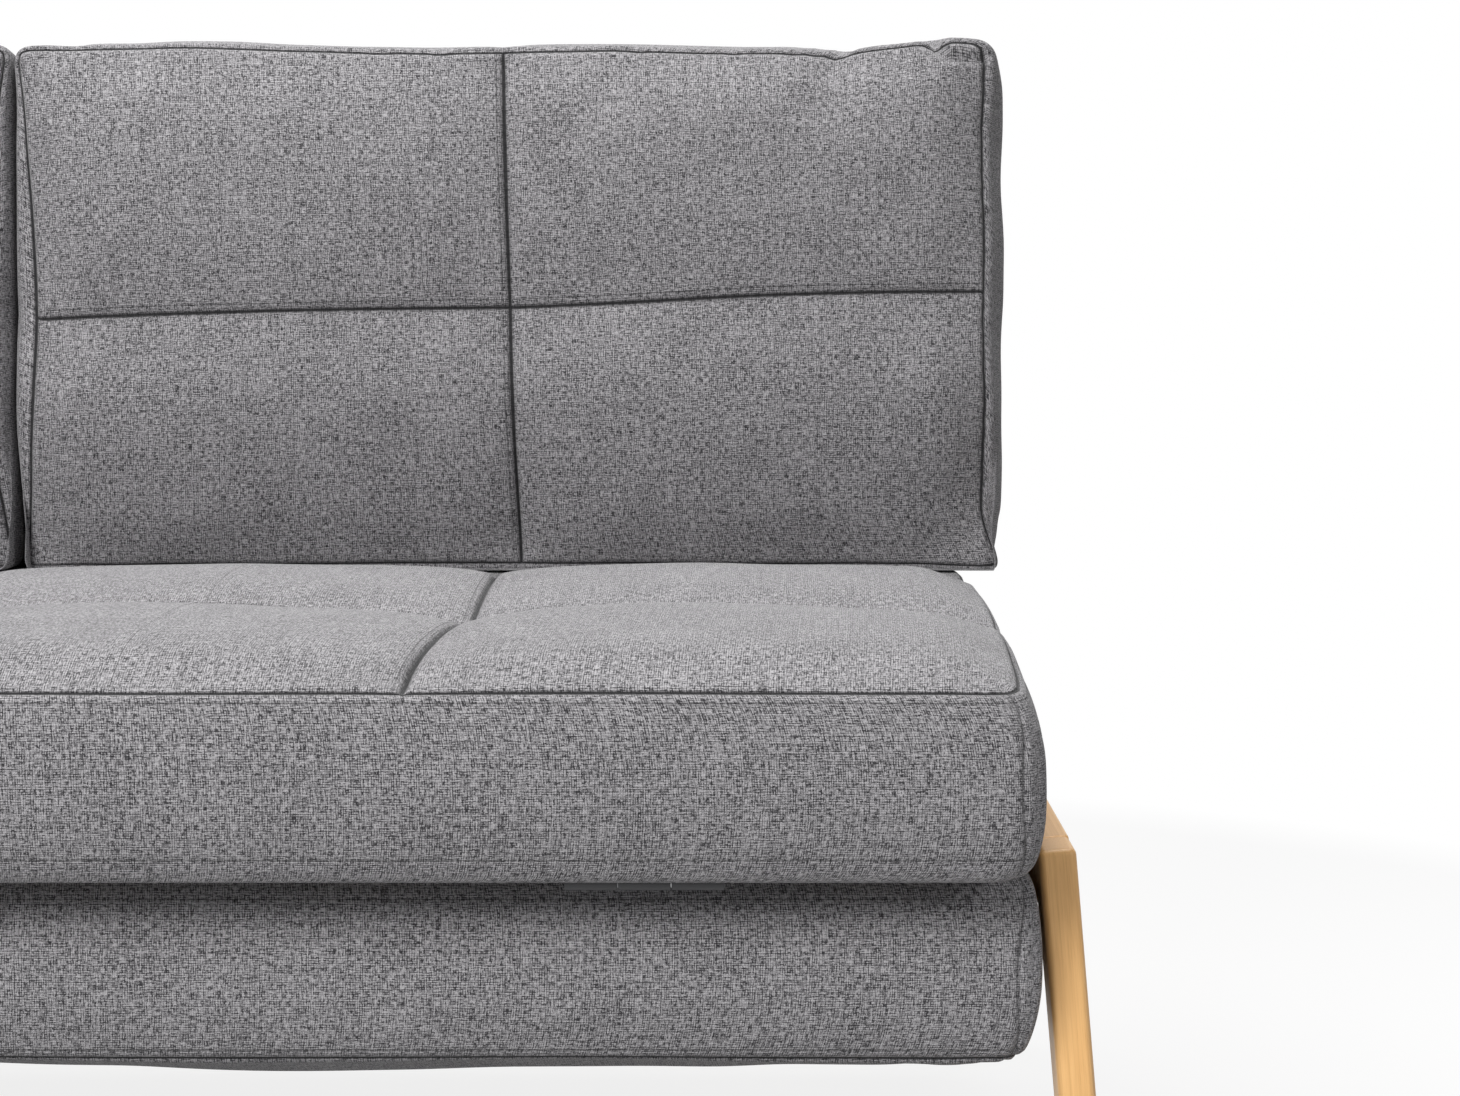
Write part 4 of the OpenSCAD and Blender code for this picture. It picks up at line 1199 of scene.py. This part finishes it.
def cushion_shape(sizes, side, flat, cut):
    """Places the points of a flat box on one cushion: across, up the lean of the back and forward of it."""
    width, height, thick = cut["width"], CUSHION_H, CUSHION_T
    x, _, t = flat.T
    s = cut["depth_at"]
    px, pt = rounded(x - width / 2, t, width / 2, height, CUSHION_CORNER)
    slack = 1 - fullness(s, CUSHION_ROUND)
    inner = (INNER_SEAM + INNER_PULL * np.sin(math.pi * t / height)) * (1 - fullness(s, INNER_ROUND))
    slim = ease(SLIM_SHARE + t / (SLIM_REACH * height))
    outer = slim * (CUSHION_START + (CUSHION_SWELL + CUSHION_PULL) * slack)
    ends = CUSHION_START + (CUSHION_PULL * np.sin(math.pi * x / width) + END_PULL) * slack
    kx = (width / 2 - np.where(px < 0, inner, outer)) / (width / 2)
    kt = (height / 2 - ends) / (height / 2)
    gx, gt = width / 2 + px * kx, height / 2 + (pt - height / 2) * kt
    crown = np.where(cut["front"], CUSHION_CROWN, REAR_CROWN)
    across, up = arch(x, cut["columns"]), arch(t, cut["rows"])
    puff = quilt(across, up, cut["edge"], crown * CROWN_ARCH, crown * CROWN_PUFF)
    level = sizes["seam_n"] + thick * s + np.where(cut["front"], puff, 0.0)
    level = level - np.where(cut["rear"], puff, 0.0)
    near_face = ease((s - FACE_FROM) / (1 - FACE_FROM))
    level = level - FOOT_ROLL * near_face * ease(1 - t / FOOT_ROLL_H)
    # The row seam droops towards the middle of the sofa, and rises a little near its outer end
    droop = (x / width - 0.5) * ROW_DROOP * 4 * (t / height) * (1 - t / height)
    gt = gt + np.where(cut["front"], droop, 0.0)
    rise = OUTER_RISE * ease((x / width - OUTER_FROM) / OUTER_RUN) * np.sin(math.pi * t / height)
    gt = gt + np.where(cut["front"], rise, 0.0)
    low, fall = COLUMN_BOW
    gx = gx + near_face * np.sin(math.pi * x / width) * (low - fall * t / height)
    gt = gt + FOOT_LIFT * near_face * ease(1 - t / FOOT_LIFT_H)
    upper = ease((t / height - TOP_WAVES_FROM) / (1 - TOP_WAVES_FROM))
    for place, reach, lift in TOP_WAVES:
        gt = gt + lift * upper * bell(x / width - place, reach)
    lean = math.radians(BACK_LEAN)
    start = (sizes["rest_z"] - sizes["foot"].z - (sizes["seam_n"] + thick) * math.sin(lean)) / math.cos(lean)
    return rested(sizes, on_back(sizes, side, gx, start - START_LOW + gt, level))


def make_cushion(side, material, look, padding):
    """Makes one loose back cushion: a front panel of four, a border and a plain rear panel."""
    name = "right" if side > 0 else "left"
    sizes = cushion_sizes()
    height = CUSHION_H
    width = sizes["width"] - side * CUSHION_SHIFT
    depth, run = border_run(lambda s: -CUSHION_SWELL * fullness(s, CUSHION_ROUND), CUSHION_T)
    girth = run[-1]
    columns, rows = [0.0, width / 2, width], [0.0, height / 2, height]
    mesh, flat = grid_box([grid_lines(columns), np.linspace(0.0, girth, CUSHION_LINES), grid_lines(rows)])
    weave_map(mesh, flat, (0.0, 0.0, 0.0), (width, girth, height))
    x, n, t = flat.T
    edge = np.minimum(np.minimum(x, width - x), np.minimum(t, height - t))
    front, rear = n > girth - ON, n < ON
    cut = {
        "width": width,
        "columns": columns,
        "rows": rows,
        "edge": edge,
        "front": front,
        "rear": rear,
        "depth_at": np.interp(n, run, depth),
    }
    set_points(mesh, cushion_shape(sizes, side, flat, cut))
    column = np.where(front, x - width / 2, FAR)
    row = np.where(front, t - height / 2, FAR)
    ring = np.where(front | rear, edge, -np.minimum(girth - n, n))
    set_layer(mesh, "seams", np.stack([column, row, ring], 1))
    set_layer(mesh, "edges", np.full((len(flat), 3), FAR))
    if side > 0:
        mesh.flip_normals()

    pins = np.zeros(len(flat))
    pins[(edge < ON) & (front | rear)] = SEAM_HOLD
    pins[(np.abs(column) < ON) | (np.abs(row) < ON)] = 1.0
    moved = swell(mesh, pins, padding, padding.cushion_move, name)
    set_points(mesh, moved)
    moved = rested(sizes, moved + normals_of(mesh) * waved(flat + side, CUSHION_WAVES)[:, None])
    clear_of_back(sizes, side, moved)
    set_points(mesh, moved)
    done = subdivided(mesh, name + "_cushion")
    draw_in_seams(done, padding, look.strip, CUSHION_SEAMS)
    fold_in(done, cushion_folds(width, height, girth, side))
    piece = keep_mesh(name + "_loose_cushion", done, material, name + "_cushion",
                      name + "_back_cushion")


# Oak side frames


def side_place(side):
    """Plane of a side frame: x across its thickness, z up to the top of the rail."""
    low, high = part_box("right_side_rail")
    splay = math.radians(SPLAY)
    seat_y = section_of("seat")["place"].translation.y
    top_z = high.z - WOOD_T * math.sin(splay)
    place = Matrix.Translation((low.x, seat_y, top_z)) @ Matrix.Rotation(-splay, 4, "Y")
    return Matrix.Scale(side, 4, (1, 0, 0)) @ place, top_z


def keep_grain(bm, along, across, through):
    """Stores each point's place in the board: along its grain, across it and through it."""
    layer = bm.verts.layers.float_vector.new("grain")
    for vert in bm.verts:
        vert[layer] = (along(vert.co), across(vert.co), through(vert.co))


def bevelled(bm, edges, radius):
    """Rounds some edges of a board."""
    bmesh.ops.bevel(bm, geom=edges, offset=radius, offset_type="OFFSET", affect="EDGES",
                    segments=4, profile=0.5, material=-1, clamp_overlap=True)


def slab(corners, radius):
    """A rounded board: its four corners in the plane of the side frame."""
    bm = bmesh.new()
    bmesh.ops.create_cube(bm, size=1.0)
    for vert in bm.verts:
        near, low = vert.co.y < 0, vert.co.z < 0
        y, z = corners[(2 if low else 0) + (0 if near else 1)]
        vert.co = Vector((WOOD_T if vert.co.x > 0 else 0.0, y, z))
    bevelled(bm, list(bm.edges), radius)
    return bm


def finish_board(bm, name, place, material, node):
    """Moves a board into place and lets it stand for its CAD node."""
    bmesh.ops.transform(bm, matrix=place, verts=bm.verts)
    bmesh.ops.recalc_face_normals(bm, faces=bm.faces)
    piece = keep_mesh(name, mesh_of(bm, name), material, "base", node)
    shading = piece.modifiers.new("Weighted normals", "WEIGHTED_NORMAL")
    shading.keep_sharp = True


def leg_ends():
    """Front faces of the legs at their tops and feet, and the length of a leg with its cut end."""
    _, top_z = side_place(1)
    seat_y = section_of("seat")["place"].translation.y
    drop = top_z / math.cos(math.radians(SPLAY)) + LEG_EXTRA
    lean = math.tan(math.radians(RAKE)) * drop
    taper = (LEG_TOP_D - LEG_FOOT_D) / 2
    rear_top = joint_of["seat_lift"]["pos_m"][1] - seat_y - LEG_TOP_D / 2
    return {
        "front": (LEG_SETBACK, LEG_SETBACK - lean + taper),
        "rear": (rear_top, rear_top + lean + taper),
    }, drop


def make_leg(side, end, material):
    """Makes one tapered leg, cut off at the top of its glide."""
    ends, drop = leg_ends()
    top, foot = ends[end]
    place, _ = side_place(side)
    bm = slab([(top, 0.0), (top + LEG_TOP_D, 0.0), (foot, -drop), (foot + LEG_FOOT_D, -drop)], EDGE_R)
    lean = (foot + LEG_FOOT_D / 2 - top - LEG_TOP_D / 2) / drop
    shift = REAR_LEG_GRAIN if end == "rear" else 0.0
    keep_grain(bm, lambda co: co.z, lambda co: co.y + lean * co.z + shift, lambda co: co.x + side)
    bmesh.ops.transform(bm, matrix=place, verts=bm.verts)
    bmesh.ops.bisect_plane(bm, geom=[*bm.verts, *bm.edges, *bm.faces], dist=ON,
                           plane_co=(0, 0, GLIDE_H), plane_no=(0, 0, -1), clear_outer=True)
    rim = [e for e in bm.edges if e.is_boundary]
    bmesh.ops.holes_fill(bm, edges=rim, sides=0)
    where = ("right" if side > 0 else "left") + "_" + end
    finish_board(bm, where + "_oak_leg", Matrix.Identity(4), material, where + "_leg")


def make_rail(side, material):
    """Makes one side rail between its legs."""
    ends, drop = leg_ends()
    place, _ = side_place(side)

    def line(top, foot, z):
        return top + (foot - top) * -z / drop

    front_top, front_foot = (v + d for v, d in zip(ends["front"], (LEG_TOP_D, LEG_FOOT_D)))
    rear_top, rear_foot = ends["rear"]
    corners = [
        (line(front_top, front_foot, 0.0), 0.0), (line(rear_top, rear_foot, 0.0), 0.0),
        (line(front_top, front_foot, -RAIL_H), -RAIL_H), (line(rear_top, rear_foot, -RAIL_H), -RAIL_H),
    ]
    where = "right" if side > 0 else "left"
    bm = slab(corners, BOARD_EDGE_R)
    keep_grain(bm, lambda co: co.y, lambda co: co.z + RAIL_GRAIN, lambda co: co.x + side)
    finish_board(bm, where + "_oak_rail", place, material, where + "_side_rail")


def make_stretcher(material):
    """Makes the rear stretcher with its ends cut to the splay."""
    low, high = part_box("rear_stretcher")
    slope = (high.z - low.z) * math.tan(math.radians(SPLAY))
    bm = bmesh.new()
    bmesh.ops.create_cube(bm, size=1.0)
    for vert in bm.verts:
        reach = high.x if vert.co.z < 0 else high.x - slope
        vert.co = Vector((math.copysign(reach, vert.co.x), high.y if vert.co.y > 0 else low.y,
                          high.z if vert.co.z > 0 else low.z))
    bevelled(bm, [e for e in bm.edges if abs(e.verts[0].co.x - e.verts[1].co.x) > high.x], BOARD_EDGE_R)
    keep_grain(bm, lambda co: co.x, lambda co: co.z, lambda co: co.y)
    finish_board(bm, "oak_stretcher", Matrix.Identity(4), material, "rear_stretcher")


# Frames, mechanism and feet


def finish_node(node, material, width):
    """Gives a CAD node its finish and broken edges."""
    piece = frame["nodes"][node]
    piece.data.materials.clear()
    piece.data.materials.append(material)
    weld = piece.modifiers.new("Weld", "WELD")
    weld.merge_threshold = 0.00001
    edge = piece.modifiers.new("Broken edges", "BEVEL")
    edge.width = width
    edge.segments = 2
    edge.limit_method = "ANGLE"
    edge.angle_limit = math.radians(35)
    edge.harden_normals = True
    smoothed(piece.data)


def nodes_in(slot):
    """The CAD nodes of one material slot of the record."""
    return [part["node"] for part in frame["record"]["subparts"] if part["material_slot"] == slot]


# Studio


def make_floor(look):
    """A wide floor that keeps the sofa's shadow near it and fades to white."""
    bm = bmesh.new()
    bmesh.ops.create_circle(bm, cap_ends=True, segments=96, radius=14.0)
    floor = linked("floor", mesh_of(bm, "floor"))
    material, tree = blank("pale_floor")
    place = object_place(tree)
    seen = in_picture(tree)
    speck, least_fade, fade_reach = 0.985, 0.84, 1.9
    colour = tone(tree, noise_at(tree, place, 3.0), [c * speck for c in look.floor_tone], look.floor_tone)
    matt = put(tree, "ShaderNodeBsdfPrincipled", Roughness=0.8)
    tree.links.new(tone(tree, seen, colour, look.floor_seen), matt.inputs["Base Color"])
    white = put(tree, "ShaderNodeEmission", Color=(1, 1, 1, 1), Strength=1.0)
    out = put(tree, "ShaderNodeVectorMath", {"operation": "LENGTH"}, Vector=place).outputs["Value"]
    spread = calc(tree, "POWER", calc(tree, "DIVIDE", out, fade_reach), 2.0)
    fade = calc(tree, "MINIMUM", calc(tree, "MAXIMUM", spread, least_fade), 1.0)
    mix = tree.nodes.new("ShaderNodeMixShader")
    for socket, source in zip(mix.inputs, (times(tree, fade, seen), matt.outputs[0], white.outputs[0])):
        tree.links.new(source, socket)
    shown_on(tree, mix)
    floor.data.materials.append(material)


def make_world(look):
    """White behind the sofa, and a plain even light from all round."""
    world = bpy.data.worlds.new("studio")
    bpy.context.scene.world = world
    world.use_nodes = True
    tree = world.node_tree
    tree.nodes.clear()
    strength = mixed_in(tree, in_picture(tree), 1.0 - look.fill, look.fill)
    light = put(tree, "ShaderNodeBackground", Color=(1, 1, 1, 1), Strength=strength)
    shown_on(tree, light, "ShaderNodeOutputWorld")


def make_lights(look):
    """Softboxes: one overhead, two in front on the left, and a weak small one on the right."""
    # Name, place, what it is aimed at, size and share of the key light's power
    boxes = [
        ("overhead_softbox", (0.1, 0.5, 3.0), (0.0, 0.2, 0.0), 2.0, 0.56),
        ("key_softbox", (-1.5, -3.2, 2.8), (0.0, 0.0, 0.4), 2.0, 1.0),
        ("low_softbox", (-1.5, -3.6, 2.0), (0.0, 0.0, 0.4), 2.0, 0.22),
        ("right_softbox", (2.6, -2.8, 1.7), (0.75, -0.3, 0.15), 1.0, 0.18),
    ]
    for name, place, aim, size, share in boxes:
        light = bpy.data.lights.new(name, "AREA")
        light.shape = "SQUARE"
        light.size = size
        light.energy = look.key * share
        holder = linked(name, light)
        holder.location = place
        way = Vector(aim) - Vector(place)
        holder.rotation_euler = way.to_track_quat("-Z", "Y").to_euler()
        holder.visible_camera = False


def make_camera(look):
    """The camera, where the picture is taken from."""
    camera = bpy.data.cameras.new("camera")
    camera.lens = look.lens
    camera.sensor_width = 36.0
    camera.clip_end = 60.0
    holder = linked("camera", camera)
    holder.location = look.camera_place
    holder.rotation_euler = (math.radians(90 - look.pitch), 0.0, 0.0)
    bpy.context.scene.camera = holder


# Operators


def shared_cloth(look):
    """The cloth that cushions and covers share, made once."""
    return bpy.data.materials.get("grey_cloth") or cloth_material(look)


class SOFA_OT_studio(bpy.types.Operator):
    """Make the floor, the light and the camera."""

    bl_idname = "sofa.studio"
    bl_label = "Studio"

    def execute(self, context):
        look = context.scene.sofa_studio
        context.scene.view_settings.view_transform = "Standard"
        make_floor(look)
        make_world(look)
        make_lights(look)
        make_camera(look)
        return {"FINISHED"}


class SOFA_OT_cushions(bpy.types.Operator):
    """Make the two loose back cushions."""

    bl_idname = "sofa.cushions"
    bl_label = "Back cushions"

    def execute(self, context):
        look, padding = context.scene.sofa_cloth, context.scene.sofa_padding
        cloth = shared_cloth(look)
        for side in (-1, 1):
            make_cushion(side, cloth, look, padding)
        return {"FINISHED"}


class SOFA_OT_covers(bpy.types.Operator):
    """Make the quilted covers of the three sections and the foam inside them."""

    bl_idname = "sofa.covers"
    bl_label = "Quilted covers"

    def execute(self, context):
        look, padding = context.scene.sofa_cloth, context.scene.sofa_padding
        cloth = shared_cloth(look)
        foam = foam_material()
        for name in ("seat", "front", "back"):
            make_cover(name, cloth, look, padding)
            make_foam(name, foam)
        return {"FINISHED"}


class SOFA_OT_oak(bpy.types.Operator):
    """Make the oak legs, rails and stretcher."""

    bl_idname = "sofa.oak"
    bl_label = "Oak side frames"

    def execute(self, context):
        wood = context.scene.sofa_wood
        oak = wood_material("oiled_oak", wood.oak_light, wood.oak_dark)
        for side in (-1, 1):
            for end in ("front", "rear"):
                make_leg(side, end, oak)
            make_rail(side, oak)
        make_stretcher(oak)
        return {"FINISHED"}


class SOFA_OT_mechanism(bpy.types.Operator):
    """Finish the section frames, slats, hinges, fold-out legs and feet."""

    bl_idname = "sofa.mechanism"
    bl_label = "Frames and mechanism"

    def execute(self, context):
        wood = context.scene.sofa_wood
        birch = wood_material("laminated_birch", wood.birch_light, wood.birch_dark,
                              turn=(0.0, 0.0, -math.pi / 2), ring=0.02, pore=0.2)
        # The finish of each slot and the width of its broken edges
        finishes = {
            "frame_steel": (enamel_material("black_powder_coat", (0.030, 0.030, 0.033)), 0.0012),
            "zinc": (zinc_material(), 0.0005),
            "birch": (birch, 0.0016),
            "rubber": (grip_material("black_rubber", (0.028, 0.028, 0.028), 900.0, 0.00015), 0.0012),
            "plastic": (grip_material("black_plastic", (0.035, 0.035, 0.037), 2200.0, 0.00004), 0.0007),
        }
        for slot, (material, width) in finishes.items():
            for node in nodes_in(slot):
                finish_node(node, material, width)
        return {"FINISHED"}


class SOFA_PT_panel(bpy.types.Panel):
    """Lists the pieces of the sofa bed."""

    bl_idname = "SOFA_PT_panel"
    bl_label = "Sofa bed"
    bl_space_type = "VIEW_3D"
    bl_region_type = "UI"
    bl_category = "Sofa bed"

    def draw(self, context):
        for operator in OPERATORS:
            self.layout.operator(operator.bl_idname)
        for group in ("sofa_cloth", "sofa_padding", "sofa_wood", "sofa_studio"):
            box = self.layout.box()
            settings = getattr(context.scene, group)
            for name in settings.__annotations__:
                box.prop(settings, name)


OPERATORS = (SOFA_OT_studio, SOFA_OT_cushions, SOFA_OT_covers, SOFA_OT_oak, SOFA_OT_mechanism)
GROUPS = {
    "sofa_cloth": SofaCloth,
    "sofa_padding": SofaPadding,
    "sofa_wood": SofaWood,
    "sofa_studio": SofaStudio,
}


def register():
    """Registers the property groups, operators and panel, and adds the groups to the scene."""
    for group in GROUPS.values():
        bpy.utils.register_class(group)
    for operator in (*OPERATORS, SOFA_PT_panel):
        bpy.utils.register_class(operator)
    for name, group in GROUPS.items():
        setattr(bpy.types.Scene, name, PointerProperty(type=group))


def unregister():
    """Takes away what register added."""
    for name in GROUPS:
        delattr(bpy.types.Scene, name)
    for operator in (SOFA_PT_panel, *reversed(OPERATORS)):
        bpy.utils.unregister_class(operator)
    for group in reversed(list(GROUPS.values())):
        bpy.utils.unregister_class(group)


def main():
    """Registers the add-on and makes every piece."""
    register()
    bpy.ops.sofa.studio()
    bpy.ops.sofa.cushions()
    bpy.ops.sofa.covers()
    bpy.ops.sofa.oak()
    bpy.ops.sofa.mechanism()


if __name__ == "__main__":
    main()
